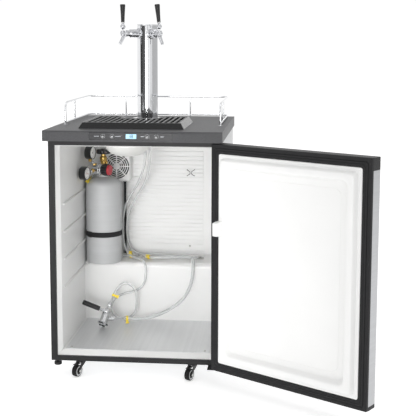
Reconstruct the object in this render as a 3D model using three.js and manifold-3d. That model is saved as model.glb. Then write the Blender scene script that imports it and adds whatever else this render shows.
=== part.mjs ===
// Dual-tap kegerator: refrigerated cabinet with an open door, beer tower, gas cylinder, coupler and hoses.
// Millimetres, +Z up, +Y towards the back. Inside this file x is measured from the cabinet's middle,
// y from the front face of the black door frame and z from the floor. The finished group is then moved so
// that the origin lies on the floor under the middle of the whole object's bounding box.
import * as THREE from "three";
import { mergeVertices } from "three/addons/utils/BufferGeometryUtils.js";
import Module from "manifold-3d";

const wasm = await Module();
wasm.setup();

// ---------- driving dimensions ----------
const GAP = 0.3;
const CABINET = { half: 291, bottom: 55, top: 812, back: 584, skin: 1.2 };
const FRAME = { depth: 8, halfOpening: 270, openBottom: 72, openTop: 796 };
const LINER = { half: 258, leadIn: 30, floor: 85, ceiling: 790, back: 552, wall: 2.5 };
const HUMP = { front: 392, top: 308, corner: 18 };
const RIB = { count: 4, lowest: 297, pitch: 96.5, height: 7, proud: 5, front: 58 };
const HOOD = { half: 296, front: -54, back: 586, bottom: 815, top: 850, wall: 4, chamfer: 4 };
const PANEL = { left: -140, right: 134, bottom: 821, top: 845, thick: 3 };
const DISPLAY = { left: -18.5, right: 16, bottom: 826, top: 841 };
const BUTTON = { radius: 6, length: 4, z: 833.5 };
const BUTTON_XS = { power_button: -94, light_button: -63, temp_up_button: 52, temp_down_button: 81.5 };
const TOWER = { x: -16, y: 405, radius: 38.1, wall: 1.6, flange: 57, flangeTop: 858, top: 1203 };
const TAP = {
  z: 1168, collarStart: 38.4, collarEnd: 83, lever: 101, pivot: 12.5,
  leftTurn: -53, rightTurn: 35, rightRoll: 6,
};
const TRAY = { x: -16, half: 178, front: 30, back: 318, notchFront: 234, height: 20, bevel: 12 };
const RAIL = { half: 272, front: 173, back: 568, top: 927, low: 857, wire: 3.3, post: 2.4, bend: 34 };
const CYLINDER = { x: -186, y: 408, radius: 67, shoulder: 600, neck: 640, neckRadius: 17, wall: 6 };
const STRAP = { bottom: 411, top: 430, thick: 1.8 };
const REGULATOR = { x: -192, y: 345, z: 668, turn: 75 };
const GAUGE = { radius: 25, thick: 27, bezel: 2.5 };
const FAN = { left: -207, right: -99, bottom: 600, top: 718, front: 498, x: -153, z: 659.5, radius: 51 };
const LAMP = { x: -44, y: 120, radius: 77, drop: 42 };
const CASTER = { x: 193, front: 26, rear: 540, trail: 26, wheel: 20, width: 18 };
const DOOR = {
  half: 291, bottom: 55.2, top: 811.7, thick: 53, inner: -2.2,
  pivotX: 281.35, pivotY: -27.6, open: 147,
};
const COUPLER = {
  tip: [-172, 261, 91.5], top: [-136, 310, 193], barb: [-90, 300, 119], handleEnd: [-245, 290, 178],
  pivotAlong: 62, armAlong: 34,
};
const BEER_HOSE = 4.5;
const GAS_HOSE = 6;

// ---------- geometry helpers ----------
const v3 = (p) => new THREE.Vector3(...p);
// The point `distance` past `to`, on the line from `from`.
const beyond = (from, to, distance) =>
  v3(to).addScaledVector(v3(to).sub(v3(from)).normalize(), distance).toArray();

// A closed geometry as a manifold-3d solid, turned the right way out.
function solid(geometry) {
  const bare = new THREE.BufferGeometry();
  const flat = geometry.index ? geometry.toNonIndexed() : geometry;
  bare.setAttribute("position", flat.getAttribute("position").clone());
  const merged = mergeVertices(bare, 1e-3);
  const corners = merged.index.array;
  const kept = [];
  for (let i = 0; i < corners.length; i += 3) {
    const [a, b, c] = corners.slice(i, i + 3);
    if (a !== b && b !== c && c !== a) kept.push([a, b, c]);
  }
  const build = (triangles) =>
    new wasm.Manifold(
      new wasm.Mesh({
        numProp: 3,
        vertProperties: merged.getAttribute("position").array,
        triVerts: new Uint32Array(triangles.flat()),
      }),
    );
  const made = build(kept);
  return made.volume() < 0 ? build(kept.map(([a, b, c]) => [a, c, b])) : made;
}

const join = (first, ...others) => others.reduce((whole, piece) => whole.add(piece), first);
const cut = (first, ...tools) => tools.reduce((whole, tool) => whole.subtract(tool), first);

function geometryOf(manifold) {
  const mesh = manifold.getMesh();
  const geometry = new THREE.BufferGeometry();
  geometry.setAttribute("position", new THREE.BufferAttribute(new Float32Array(mesh.vertProperties), 3));
  geometry.setIndex(new THREE.BufferAttribute(new Uint32Array(mesh.triVerts), 1));
  geometry.computeVertexNormals();
  return geometry;
}

// A box between two limits on each axis.
function block([x0, x1], [y0, y1], [z0, z1]) {
  const geometry = new THREE.BoxGeometry(x1 - x0, y1 - y0, z1 - z0);
  geometry.translate((x0 + x1) / 2, (y0 + y1) / 2, (z0 + z1) / 2);
  return solid(geometry);
}

// A solid of revolution from [radius, distance] pairs, standing at `at` along `direction`.
function turned(profile, at = [0, 0, 0], direction = [0, 0, 1], sides = 20) {
  const outline = profile.map(([radius, along]) => new THREE.Vector2(radius, along));
  const geometry = new THREE.LatheGeometry(outline, sides);
  const spin = new THREE.Vector3(0, 1, 0);
  geometry.applyQuaternion(new THREE.Quaternion().setFromUnitVectors(spin, v3(direction).normalize()));
  geometry.translate(...at);
  return solid(geometry);
}

// A plain round bar between two points.
function rod(from, to, radius, sides = 16) {
  const along = v3(to).sub(v3(from));
  const length = along.length();
  const profile = [[0, 0], [radius, 0], [radius, length], [0, length]];
  return turned(profile, from, along.toArray(), sides);
}

// A prism whose outline changes from `lower` at z0 to `upper` at z1; both have the same number of corners.
function loft(lower, z0, upper, z1) {
  if (THREE.ShapeUtils.area(lower.map((p) => new THREE.Vector2(...p))) < 0) {
    lower = [...lower].reverse();
    upper = [...upper].reverse();
  }
  const count = lower.length;
  const at = (list, i, z) => [list[i][0], list[i][1], z];
  const faces = THREE.ShapeUtils.triangulateShape(lower.map((p) => new THREE.Vector2(...p)), []);
  const corners = [];
  for (const [a, b, c] of faces) {
    corners.push(at(lower, a, z0), at(lower, c, z0), at(lower, b, z0));
    corners.push(at(upper, a, z1), at(upper, b, z1), at(upper, c, z1));
  }
  for (let i = 0; i < count; i++) {
    const j = (i + 1) % count;
    corners.push(at(lower, i, z0), at(lower, j, z0), at(upper, j, z1));
    corners.push(at(lower, i, z0), at(upper, j, z1), at(upper, i, z1));
  }
  const geometry = new THREE.BufferGeometry();
  geometry.setAttribute("position", new THREE.Float32BufferAttribute(corners.flat(), 3));
  return solid(geometry);
}

// The outline of a rectangle in the XZ plane, lofted along Y between two rectangles.
function funnel([half0, bottom0, top0], y0, [half1, bottom1, top1], y1) {
  const rectangle = (half, bottom, top) => [[-half, -bottom], [half, -bottom], [half, -top], [-half, -top]];
  const made = loft(rectangle(half0, bottom0, top0), y0, rectangle(half1, bottom1, top1), y1);
  return made.rotate([-90, 0, 0]);
}

// A profile in the YZ plane, extruded across X.
function across(profile, x0, x1) {
  const shape = new THREE.Shape(profile.map(([y, z]) => new THREE.Vector2(y, z)));
  const geometry = new THREE.ExtrudeGeometry(shape, { depth: x1 - x0, bevelEnabled: false });
  const axes = new THREE.Matrix4().makeBasis(v3([0, 1, 0]), v3([0, 0, 1]), v3([1, 0, 0]));
  geometry.applyMatrix4(axes);
  geometry.translate(x0, 0, 0);
  return solid(geometry);
}

// A path that puts one ring of a swept tube at each of its points.
// `ends` holds the directions the first and the last ring face.
class RingPath extends THREE.Curve {
  constructor(points, ends) {
    super();
    this.points = points;
    this.ends = ends;
  }
  getPoint(t) {
    const place = t * (this.points.length - 1);
    const i = Math.min(Math.floor(place + 1e-6), this.points.length - 2);
    return this.points[i].clone().lerp(this.points[i + 1], place - i);
  }
  getPointAt(u) {
    return this.getPoint(u);
  }
  getTangentAt(u) {
    const last = this.points.length - 1;
    const i = Math.round(u * last);
    if (this.ends && i === 0) return this.ends[0];
    if (this.ends && i === last) return this.ends[1];
    const before = this.points[Math.max(i - 1, 0)];
    const after = this.points[Math.min(i + 1, last)];
    return after.clone().sub(before).normalize();
  }
}

// A tube of the given radius with one ring at each point.
function swept(points, radius, sides = 8, ends = undefined) {
  const corners = [];
  for (let i = 0; i < sides; i++) {
    const angle = (i / sides) * 2 * Math.PI;
    corners.push(new THREE.Vector2(radius * Math.cos(angle), radius * Math.sin(angle)));
  }
  const path = new RingPath(points, ends);
  const options = { steps: points.length - 1, extrudePath: path, bevelEnabled: false };
  return solid(new THREE.ExtrudeGeometry(new THREE.Shape(corners), options));
}

// Straight runs joined by round bends of the given radius.
function bentPath(corners, radius, stepsPerBend = 5) {
  const points = [v3(corners[0])];
  for (let i = 1; i < corners.length - 1; i++) {
    const corner = v3(corners[i]);
    const back = v3(corners[i - 1]).sub(corner).normalize();
    const on = v3(corners[i + 1]).sub(corner).normalize();
    const start = corner.clone().addScaledVector(back, radius);
    const end = corner.clone().addScaledVector(on, radius);
    const bend = new THREE.QuadraticBezierCurve3(start, corner, end);
    points.push(...bend.getPoints(stepsPerBend));
  }
  points.push(v3(corners[corners.length - 1]));
  return points;
}

// A hose through hand-picked points, with a ring about every `step` millimetres.
function hose(points, radius, step) {
  const curve = new THREE.CatmullRomCurve3(points.map(v3), false, "centripetal");
  const rings = Math.min(80, Math.round(curve.getLength() / step));
  const heading = (i) => v3(points[i + 1]).sub(v3(points[i])).normalize();
  const ends = [heading(0), heading(points.length - 2)];
  return swept(curve.getSpacedPoints(rings), radius, 8, ends);
}

// ---------- finishes ----------
const FINISH = {
  blackPaint: [0x2b2b2c, 0.45, 0.2],
  greyPaint: [0xb9babb, 0.4, 0.3],
  hoodBlack: [0x4a4a4b, 0.4, 0.1],
  whitePlastic: [0xf1f1f0, 0.4, 0],
  stainless: [0xc4c5c6, 0.35, 1],
  chrome: [0xe3e4e6, 0.08, 1],
  blackPlastic: [0x1d1d1e, 0.5, 0],
  rubber: [0x2a2a2b, 0.8, 0],
  glass: [0x9fd4ee, 0.1, 0],
  aluminium: [0xc9cacb, 0.45, 0.7],
  brass: [0xb99a5c, 0.3, 1],
  clearHose: [0xe6e8e8, 0.25, 0],
  strap: [0x262627, 0.8, 0],
};

function piece(name, shape, [colour, roughness, metalness]) {
  const material = new THREE.MeshStandardMaterial({ color: colour, roughness, metalness });
  const mesh = new THREE.Mesh(geometryOf(shape), material);
  mesh.name = name;
  return mesh;
}

// ---------- cabinet ----------
// The cabinet's inside as a solid, grown by `grow` on every face: a side profile with the compressor hump.
function inside(grow) {
  const floor = LINER.floor - grow;
  const ceiling = LINER.ceiling + grow;
  const humpFront = HUMP.front + grow;
  const humpTop = HUMP.top - grow;
  const back = LINER.back + grow;
  const profile = [[LINER.leadIn, floor], [humpFront, floor]];
  const steps = 5;
  for (let i = 0; i <= steps; i++) {
    const angle = (i / steps) * (Math.PI / 2);
    const y = humpFront + HUMP.corner * (1 - Math.cos(angle));
    const z = humpTop - HUMP.corner * (1 - Math.sin(angle));
    profile.push([y, z]);
  }
  profile.push([back, humpTop], [back, ceiling], [LINER.leadIn, ceiling]);
  const room = across(profile, -LINER.half - grow, LINER.half + grow);
  const mouth = [FRAME.halfOpening + grow, FRAME.openBottom - grow, FRAME.openTop + grow];
  const throat = [LINER.half + grow, LINER.floor - grow, LINER.ceiling + grow];
  return join(room, funnel(mouth, FRAME.depth, throat, LINER.leadIn + 0.01));
}

function towerHole(radius) {
  return rod([TOWER.x, TOWER.y, LINER.ceiling - 20], [TOWER.x, TOWER.y, HOOD.top + 20], radius, 24);
}

const COMPARTMENT = { half: 250, front: HUMP.front + 28, top: HUMP.top - 30 };

function outerShell() {
  const { half, bottom, top, back, skin } = CABINET;
  const front = FRAME.depth + GAP;
  const body = block([-half, half], [front, back], [bottom, top]);
  const hollow = block([-half + skin, half - skin], [front - 1, back - skin], [bottom + skin, top - skin]);
  const rearWindow = block([-230, 230], [back - 5, back + 5], [bottom + 20, COMPARTMENT.top - 15]);
  return cut(body, hollow, rearWindow, towerHole(34));
}

function faceFrame() {
  const { half, bottom, top } = CABINET;
  const { depth, halfOpening, openBottom, openTop } = FRAME;
  const plate = block([-half, half], [0, depth], [bottom, top]);
  return cut(plate, block([-halfOpening, halfOpening], [-1, depth + 1], [openBottom, openTop]));
}

function innerLiner() {
  const front = block([-300, 300], [0, FRAME.depth + GAP], [0, 1000]);
  let liner = cut(inside(LINER.wall), inside(0), front, towerHole(31));
  for (let i = 0; i < RIB.count; i++) {
    const z = RIB.lowest + i * RIB.pitch;
    const halfHeight = RIB.height / 2;
    for (const side of [-1, 1]) {
      const wall = side * (LINER.half + 1);
      const edge = side * (LINER.half - RIB.proud);
      const reach = i === 0 ? HUMP.front + 4 : LINER.back + 1;
      const outline = [[wall, RIB.front], [edge, RIB.front + 8], [edge, reach], [wall, reach]];
      liner = join(liner, loft(outline, z - halfHeight, outline, z + halfHeight));
    }
  }
  return liner;
}

function floorPlate() {
  const bottom = LINER.floor + GAP;
  return block([-LINER.half + 9, LINER.half - 9], [LINER.leadIn + 2, HUMP.front - 1], [bottom, bottom + 2]);
}

function rearGrille() {
  const y = CABINET.back + GAP;
  let plate = block([-245, 245], [y, y + 3], [CABINET.bottom + 4, COMPARTMENT.top]);
  const slots = 9;
  for (let i = 0; i < slots; i++) {
    const z = CABINET.bottom + 34 + i * 18;
    plate = cut(plate, block([-200, -20], [y - 1, y + 4], [z, z + 8]));
    plate = cut(plate, block([20, 150], [y - 1, y + 4], [z, z + 8]));
  }
  const gland = rod([190, y + 2, 110], [190, y + 16, 110], 9);
  return join(plate, gland);
}

function compressor() {
  const base = CABINET.bottom + CABINET.skin + GAP;
  const dome = [[0, 12], [58, 12], [60, 30], [60, 100], [46, 128], [0, 136]];
  const pot = turned(dome, [40, 505, base], [0, 0, 1], 20);
  const foot = block([-40, 120], [460, 550], [base, base + 14]);
  return join(pot, foot);
}

// ---------- hood, control panel, rail ----------
function hoodTop() {
  const { half, front, back, bottom, top, wall, chamfer } = HOOD;
  const profile = [
    [front, bottom], [back, bottom], [back, top], [front + chamfer, top], [front, top - chamfer],
  ];
  const slab = across(profile, -half, half);
  const hollow = block([-half + wall, half - wall], [12, back - wall], [bottom - 1, top - wall]);
  const recess = block(
    [PANEL.left - GAP, PANEL.right + GAP], [front - 1, front + PANEL.thick + GAP],
    [PANEL.bottom - GAP, PANEL.top + GAP],
  );
  const pocket = block(
    [PANEL.left + 8, PANEL.right - 8], [front, front + 26], [PANEL.bottom + 3, PANEL.top - 3],
  );
  const skirtTop = bottom + 8;
  const skirt = cut(
    block([-half + 7, half - 7], [46, back - 4], [CABINET.top + GAP, skirtTop]),
    block([-half + 20, half - 20], [60, back - 18], [CABINET.top - 1, skirtTop + 1]),
  );
  return cut(join(cut(slab, hollow), skirt), recess, pocket, towerHole(34));
}

function controlPanel() {
  const y = HOOD.front;
  let plate = block([PANEL.left, PANEL.right], [y, y + PANEL.thick], [PANEL.bottom, PANEL.top]);
  const { left, right, bottom, top } = DISPLAY;
  plate = cut(plate, block([left - GAP, right + GAP], [y - 1, y + 5], [bottom - GAP, top + GAP]));
  for (const x of Object.values(BUTTON_XS)) {
    plate = cut(plate, rod([x, y - 1, BUTTON.z], [x, y + 5, BUTTON.z], BUTTON.radius + 0.4, 20));
  }
  return plate;
}

function displayWindow() {
  const { left, right, bottom, top } = DISPLAY;
  return block([left, right], [HOOD.front + 0.3, HOOD.front + 2.6], [bottom, top]);
}

function touchButton(x) {
  const y = HOOD.front - 0.6;
  return rod([x, y, BUTTON.z], [x, y + BUTTON.length, BUTTON.z], BUTTON.radius, 20);
}

function guardRail() {
  const { half, front, back, top, low, wire, post, bend } = RAIL;
  const foot = HOOD.top + GAP;
  const upper = [
    [-half, front, foot], [-half, front, top], [-half, back, top],
    [half, back, top], [half, front, top], [half, front, foot],
  ];
  const lower = [[-half, front, low], [-half, back, low], [half, back, low], [half, front, low]];
  let rail = join(swept(bentPath(upper, bend), wire), swept(bentPath(lower, bend), wire - 0.4));
  const middle = (front + back) / 2 - 50;
  const posts = [[-half, middle], [half, middle], [-126, back], [126, back]];
  for (const [x, y] of posts) rail = join(rail, rod([x, y, low], [x, y, top], post, 8));
  const feet = [[-126, back], [126, back]];
  for (const [x, y] of feet) rail = join(rail, rod([x, y, foot], [x, y, low], post, 8));
  return rail;
}

// ---------- drip tray ----------
// The tray's outline, moved inwards by `inset`: a rectangle with a notch in its back edge.
function trayOutline(inset) {
  const half = TRAY.half - inset;
  const front = TRAY.front + inset;
  const back = TRAY.back - inset;
  const notch = TRAY.notchFront - inset;
  const narrow = 36 + inset;
  const wide = 64 + inset;
  const corners = [
    [-half, front], [half, front], [half, back], [wide, back],
    [narrow, notch], [-narrow, notch], [-wide, back], [-half, back],
  ];
  return corners.map(([x, y]) => [x + TRAY.x, y]);
}

const TRAY_BOTTOM = HOOD.top + GAP;
const TRAY_TOP = HOOD.top + TRAY.height;
const GRATE = { inset: TRAY.bevel + 5, thick: 4.5 };

function dripTray() {
  const body = loft(trayOutline(0), TRAY_BOTTOM, trayOutline(TRAY.bevel), TRAY_TOP);
  const ledge = TRAY_TOP - GRATE.thick - 0.8;
  const seat = loft(trayOutline(GRATE.inset - 0.5), ledge, trayOutline(GRATE.inset - 0.5), TRAY_TOP + 1);
  const basin = loft(trayOutline(22), TRAY_BOTTOM + 2.5, trayOutline(22), ledge + 1);
  return cut(body, seat, basin);
}

function dripGrate() {
  const bottom = TRAY_TOP - GRATE.thick - 0.5;
  const outline = trayOutline(GRATE.inset);
  let plate = loft(outline, bottom, outline, bottom + GRATE.thick);
  const slots = 12;
  const pitch = (2 * (TRAY.half - GRATE.inset) - 14) / slots;
  const firstX = TRAY.x - TRAY.half + GRATE.inset + 7 + pitch / 2;
  for (let i = 0; i < slots; i++) {
    const x = firstX + i * pitch;
    const fromTower = Math.abs(x - TRAY.x);
    const slant = Math.min(1, Math.max(0, (fromTower - 55) / 35));
    const end = THREE.MathUtils.lerp(TRAY.notchFront - GRATE.inset, TRAY.back - GRATE.inset, slant) - 9;
    const start = TRAY.front + GRATE.inset + 9;
    plate = cut(plate, block([x - 7, x + 7], [start, end], [bottom - 1, bottom + 6]));
  }
  return plate;
}

// ---------- tower and taps ----------
function towerBase() {
  const { x, y, flange, flangeTop } = TOWER;
  const bottom = HOOD.top + GAP;
  const height = flangeTop - bottom;
  const bore = 33;
  const profile = [[bore, 0], [flange, 0], [flange, 4], [flange - 4, height], [bore, height], [bore, 0]];
  return turned(profile, [x, y, bottom], [0, 0, 1], 24);
}

function towerColumn() {
  const { x, y, radius, wall, flangeTop, top } = TOWER;
  const height = top - 7 - GAP - flangeTop;
  const inner = radius - wall;
  const profile = [[inner, 0], [radius, 0], [radius, height], [inner, height], [inner, 0]];
  let column = turned(profile, [x, y, flangeTop + GAP], [0, 0, 1], 24);
  for (const turn of [TAP.leftTurn, TAP.rightTurn]) {
    const angle = THREE.MathUtils.degToRad(turn - 90);
    const along = [x + 60 * Math.cos(angle), y + 60 * Math.sin(angle), TAP.z];
    column = cut(column, rod([x, y, TAP.z], along, 11.5, 20));
  }
  return column;
}

function towerCap() {
  const { x, y, radius, top } = TOWER;
  const profile = [[0, 0], [radius, 0], [radius, 4], [radius - 2, 6.3], [0, 7]];
  return turned(profile, [x, y, top - 7 + GAP], [0, 0, 1], 24);
}

// A tap's frame: X points away from the tower, the origin is on the tower's axis at the shank's height.
function tapFrame(turn) {
  const frame = new THREE.Group();
  frame.position.set(TOWER.x, TOWER.y, TAP.z);
  frame.rotation.z = THREE.MathUtils.degToRad(turn - 90);
  return frame;
}

function tapShank() {
  const { collarStart, collarEnd } = TAP;
  const collar = [
    [0, 20], [14, 20], [15, collarStart + 3], [15, collarEnd - 12],
    [11, collarEnd - 6], [11, collarEnd], [0, collarEnd],
  ];
  const column = rod([0, 0, -30], [0, 0, 30], TOWER.radius + GAP, 32);
  const saddle = cut(turned(collar, [0, 0, 0], [1, 0, 0]), column);
  const tail = turned([[0, 12], [4, 12], [4, 26], [11, 28], [11, 42], [0, 42]], [0, 0, 0], [1, 0, 0], 16);
  return join(saddle, tail);
}

function tapFaucet() {
  const start = TAP.collarEnd + GAP;
  const reach = TAP.lever;
  const barrel = turned(
    [[0, start], [10.5, start], [10.5, start + 5], [8.5, start + 8], [8.5, reach + 7], [0, reach + 9]],
    [0, 0, 0], [1, 0, 0], 20,
  );
  const bonnet = rod([reach, 0, -9], [reach, 0, TAP.pivot - 2.8], 8.5, 20);
  const spoutProfile = [[0, 0], [8, 0], [6.2, 26], [5.8, 42], [0, 42]];
  const spout = turned(spoutProfile, [start + 9, 0, -2], [0.5, 0, -0.87], 16);
  return join(barrel, bonnet, spout);
}

// The lever's own frame has its origin on the pivot, just above the faucet's bonnet.
function tapLever() {
  const ball = [[0, -2], [1.5, -2], [2.5, -1], [2.5, 3], [4, 3], [9.3, 7.5], [9.8, 12], [8, 18]];
  const ferrule = [[5, 21], [5.4, 27], [6.2, 28]];
  const handle = [[7.6, 58], [9.6, 88], [9, 91.5], [7, 92.5], [0, 92.5]];
  return turned([...ball, ...ferrule, ...handle], [0, 0, 0], [0, 0, 1], 20);
}

// ---------- cold air and light ----------
function lampCover() {
  const { x, y, radius, drop } = LAMP;
  const profile = [[0, 0], [radius, 0], [radius - 5, 14], [radius - 20, 30], [radius - 42, 39], [0, drop]];
  return turned(profile, [x, y, LINER.ceiling - GAP], [0, 0, -1], 24);
}

function fanCover() {
  const { left, right, bottom, top, front, x, z, radius } = FAN;
  const back = LINER.back - GAP;
  const shell = block([left, right], [front, back], [bottom, top]);
  const hollow = block([left + 3, right - 3], [front + 3, back + 1], [bottom + 3, top - 3]);
  let cover = cut(shell, hollow);
  const rings = [[14, 21], [27, 34], [40, radius - 2]];
  for (const [inner, outer] of rings) {
    const profile = [[inner, -2], [outer, -2], [outer, 5], [inner, 5], [inner, -2]];
    const ring = turned(profile, [x, front, z], [0, 1, 0], 24);
    const spokeX = block([x - radius, x + radius], [front - 4, front + 8], [z - 2.5, z + 2.5]);
    const spokeZ = block([x - 2.5, x + 2.5], [front - 4, front + 8], [z - radius, z + radius]);
    cover = cut(cover, cut(ring, spokeX, spokeZ));
  }
  const motor = rod([x, back - 22, z], [x, back, z], 16, 20);
  const bracket = block([left + 1, right - 1], [back - 4, back], [z - 8, z + 8]);
  return join(cover, motor, bracket);
}

function fanRotor() {
  const { front, x, z, radius } = FAN;
  const start = front + 8;
  let rotor = rod([x, start, z], [x, LINER.back - GAP - 23, z], 13, 20);
  const blades = 5;
  for (let i = 0; i < blades; i++) {
    const angle = (i / blades) * 2 * Math.PI;
    const blade = new THREE.BoxGeometry(radius - 18, 1.6, 20);
    blade.rotateX(THREE.MathUtils.degToRad(35));
    blade.translate((radius - 18) / 2 + 10, 0, 0);
    blade.rotateY(angle);
    blade.translate(x, start + 9, z);
    rotor = join(rotor, solid(blade));
  }
  return rotor;
}

// ---------- gas cylinder and regulator ----------
function gasCylinder() {
  const { x, y, radius, shoulder, neck, neckRadius, wall } = CYLINDER;
  const bottom = HUMP.top + GAP;
  const height = shoulder - bottom;
  const neckHeight = neck - bottom;
  const bore = 10;
  const profile = [[0, 0], [radius - 6, 0], [radius, 6], [radius, height]];
  const steps = 5;
  for (let i = 1; i <= steps; i++) {
    const angle = (i / steps) * (Math.PI / 2);
    const r = neckRadius + (radius - neckRadius) * Math.cos(angle);
    profile.push([r, height + (neckHeight - 8 - height) * Math.sin(angle)]);
  }
  profile.push([neckRadius, neckHeight], [bore, neckHeight], [bore, neckHeight - 16]);
  profile.push([radius - wall - 14, height], [radius - wall, height - 20], [radius - wall, wall], [0, wall]);
  return turned(profile, [x, y, bottom], [0, 0, 1], 24);
}

function cylinderStrap() {
  const inner = CYLINDER.radius + GAP;
  const outer = inner + STRAP.thick;
  const height = STRAP.top - STRAP.bottom;
  const ring = turned(
    [[inner, 0], [outer, 0], [outer, height], [inner, height], [inner, 0]],
    [CYLINDER.x, CYLINDER.y, STRAP.bottom], [0, 0, 1], 32,
  );
  const buckle = block([-8, 8], [-outer - 2.5, -outer + 1], [STRAP.bottom - 1.5, STRAP.top + 1.5]);
  return join(ring, buckle.rotate([0, 0, -38]).translate([CYLINDER.x, CYLINDER.y, 0]));
}

function cylinderValve() {
  const { x, y, neck } = CYLINDER;
  const stem = [
    [0, -14], [9.5, -14], [9.5, 0.4], [15, 0.4], [15, 12], [11, 16],
    [11, 56], [13, 58], [13, 68], [9, 72], [9, 78], [0, 78],
  ];
  const body = turned(stem, [x, y, neck], [0, 0, 1], 16);
  const outlet = turned(
    [[0, 0], [8, 0], [8, 18], [14, 20], [14, 36], [0, 36]],
    [x, y, REGULATOR.z + 4], [0, -1, 0], 6,
  );
  return join(body, outlet);
}

function valveHandwheel() {
  const bottom = CYLINDER.neck + 78 + GAP;
  const lobes = 8;
  const profile = [[0, 0], [24, 0], [26, 4], [26, 14], [22, 19], [0, 20]];
  let wheel = turned(profile, [CYLINDER.x, CYLINDER.y, bottom], [0, 0, 1], 24);
  for (let i = 0; i < lobes; i++) {
    const angle = ((i + 0.5) / lobes) * 2 * Math.PI;
    const x = CYLINDER.x + 30 * Math.cos(angle);
    const y = CYLINDER.y + 30 * Math.sin(angle);
    wheel = cut(wheel, rod([x, y, bottom - 1], [x, y, bottom + 21], 7, 10));
  }
  return wheel;
}

const knobAngle = THREE.MathUtils.degToRad(REGULATOR.turn - 90);
const KNOB_AXIS = [Math.cos(knobAngle), Math.sin(knobAngle), 0];
const regulatorPoint = (along, side, up) => [
  REGULATOR.x + along * KNOB_AXIS[0] - side * KNOB_AXIS[1],
  REGULATOR.y + along * KNOB_AXIS[1] + side * KNOB_AXIS[0],
  REGULATOR.z + up,
];
const HIGH_GAUGE = regulatorPoint(-26, 0, 61);
const LOW_GAUGE = regulatorPoint(-16, -66, -7);
const OUTLET_ROOT = regulatorPoint(-12, 4, -8);
const GAS_OUTLET = [-233, 378, 634];

function regulatorBody() {
  const centre = regulatorPoint(0, 0, 0);
  const housing = turned(
    [[0, -24], [13, -24], [18, -16], [18, -2], [22, 0], [22, 8], [16, 14], [0, 14]],
    centre, KNOB_AXIS, 24,
  );
  const inletZ = REGULATOR.z + 4;
  const inlet = rod([CYLINDER.x, CYLINDER.y - 36 - GAP, inletZ], [CYLINDER.x, REGULATOR.y + 5, inletZ], 8);
  const upPort = rod(regulatorPoint(-14, 0, 10), regulatorPoint(-26, 0, 61 - GAUGE.radius - 9), 6, 12);
  const sidePort = rod(regulatorPoint(-10, -8, 0), regulatorPoint(-22, -66 + GAUGE.radius + 12, -7), 6, 12);
  const outlet = rod(OUTLET_ROOT, GAS_OUTLET, 4.2, 12);
  return join(housing, inlet, upPort, sidePort, outlet);
}

// A round gauge whose dial faces along the knob's axis, on a stem towards the regulator.
function gauge(centre, stem) {
  const { radius, thick, bezel } = GAUGE;
  const back = v3(centre).addScaledVector(v3(KNOB_AXIS), -thick + 5).toArray();
  const drum = turned(
    [
      [0, 0], [radius - 3, 0], [radius, 3], [radius, thick],
      [radius - bezel, thick], [radius - bezel, thick - bezel], [0, thick - bezel],
    ],
    back, KNOB_AXIS, 28,
  );
  const from = v3(centre).addScaledVector(v3(KNOB_AXIS), -thick / 2 + 5);
  const start = from.clone().addScaledVector(v3(stem), radius - 4).toArray();
  const end = from.clone().addScaledVector(v3(stem), radius + 8.5).toArray();
  return join(drum, rod(start, end, 6.5, 6));
}

function regulatorKnob() {
  const start = regulatorPoint(14 + GAP, 0, 0);
  let knob = turned([[0, 0], [17, 0], [21, 6], [23, 24], [22, 32], [19, 36], [0, 36]], start, KNOB_AXIS, 24);
  const flutes = 9;
  for (let i = 0; i < flutes; i++) {
    const angle = (i / flutes) * 2 * Math.PI;
    const side = 27 * Math.cos(angle);
    const up = 27 * Math.sin(angle);
    knob = cut(knob, rod(regulatorPoint(18, side, up), regulatorPoint(52, side, up), 5.5, 8));
  }
  return knob;
}

// ---------- hoses, tee and coupler ----------
const HUMP_HOSE = HUMP.top + GAP + GAS_HOSE;
const HUMP_BEER = HUMP.top + GAP + BEER_HOSE;
const TEE = { x: -57, y: 464, z: HUMP_HOSE + 1 };
const TEE_CENTRE = [TEE.x, TEE.y, TEE.z];
const TEE_LEFT = [TEE.x - 30, TEE.y + 4, TEE.z];
const TEE_RIGHT = [TEE.x + 30, TEE.y - 8, TEE.z];
const TEE_PLUG = [TEE.x + 3, TEE.y + 24, TEE.z];

function gasTee() {
  const core = rod([TEE.x - 9, TEE.y, TEE.z], [TEE.x + 9, TEE.y, TEE.z], 6.8, 6);
  const barbs = [TEE_LEFT, TEE_RIGHT, TEE_PLUG].map((end) => rod(TEE_CENTRE, end, 4.2, 12));
  return join(core, ...barbs);
}

const couplerAxis = v3(COUPLER.top).sub(v3(COUPLER.tip)).normalize();
const couplerPoint = (along) => v3(COUPLER.tip).addScaledVector(couplerAxis, along);
const COUPLER_LENGTH = v3(COUPLER.top).distanceTo(v3(COUPLER.tip));
const COUPLER_PIVOT = couplerPoint(COUPLER.pivotAlong).toArray();
const BARB_ROOT = couplerPoint(COUPLER.armAlong).toArray();

function couplerBody() {
  const profile = [
    [0, 0], [6, 0], [7, 8], [11, 10], [19, 12], [19, 20], [15, 22], [15, 54], [12, 58], [12, 70], [8, 74],
    [5.5, 78], [5.5, 100], [4.2, 102], [4.2, COUPLER_LENGTH], [0, COUPLER_LENGTH],
  ];
  const barrel = turned(profile, COUPLER.tip, couplerAxis.toArray(), 24);
  const direction = v3(COUPLER.barb).sub(v3(BARB_ROOT));
  const length = direction.length();
  const arm = turned(
    [[0, 0], [8, 0], [8, 34], [4.2, 36], [4.2, length], [0, length]],
    BARB_ROOT, direction.toArray(), 16,
  );
  return join(barrel, arm);
}

// The handle's frame has its origin on its pivot: X runs along the handle and Y along the pivot pin.
function handleFrame() {
  const direction = v3(COUPLER.handleEnd).sub(v3(COUPLER_PIVOT)).normalize();
  const pin = couplerAxis.clone().cross(direction).normalize();
  const up = direction.clone().cross(pin);
  const frame = new THREE.Group();
  frame.position.set(...COUPLER_PIVOT);
  frame.quaternion.setFromRotationMatrix(new THREE.Matrix4().makeBasis(direction, pin, up));
  return frame;
}

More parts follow.
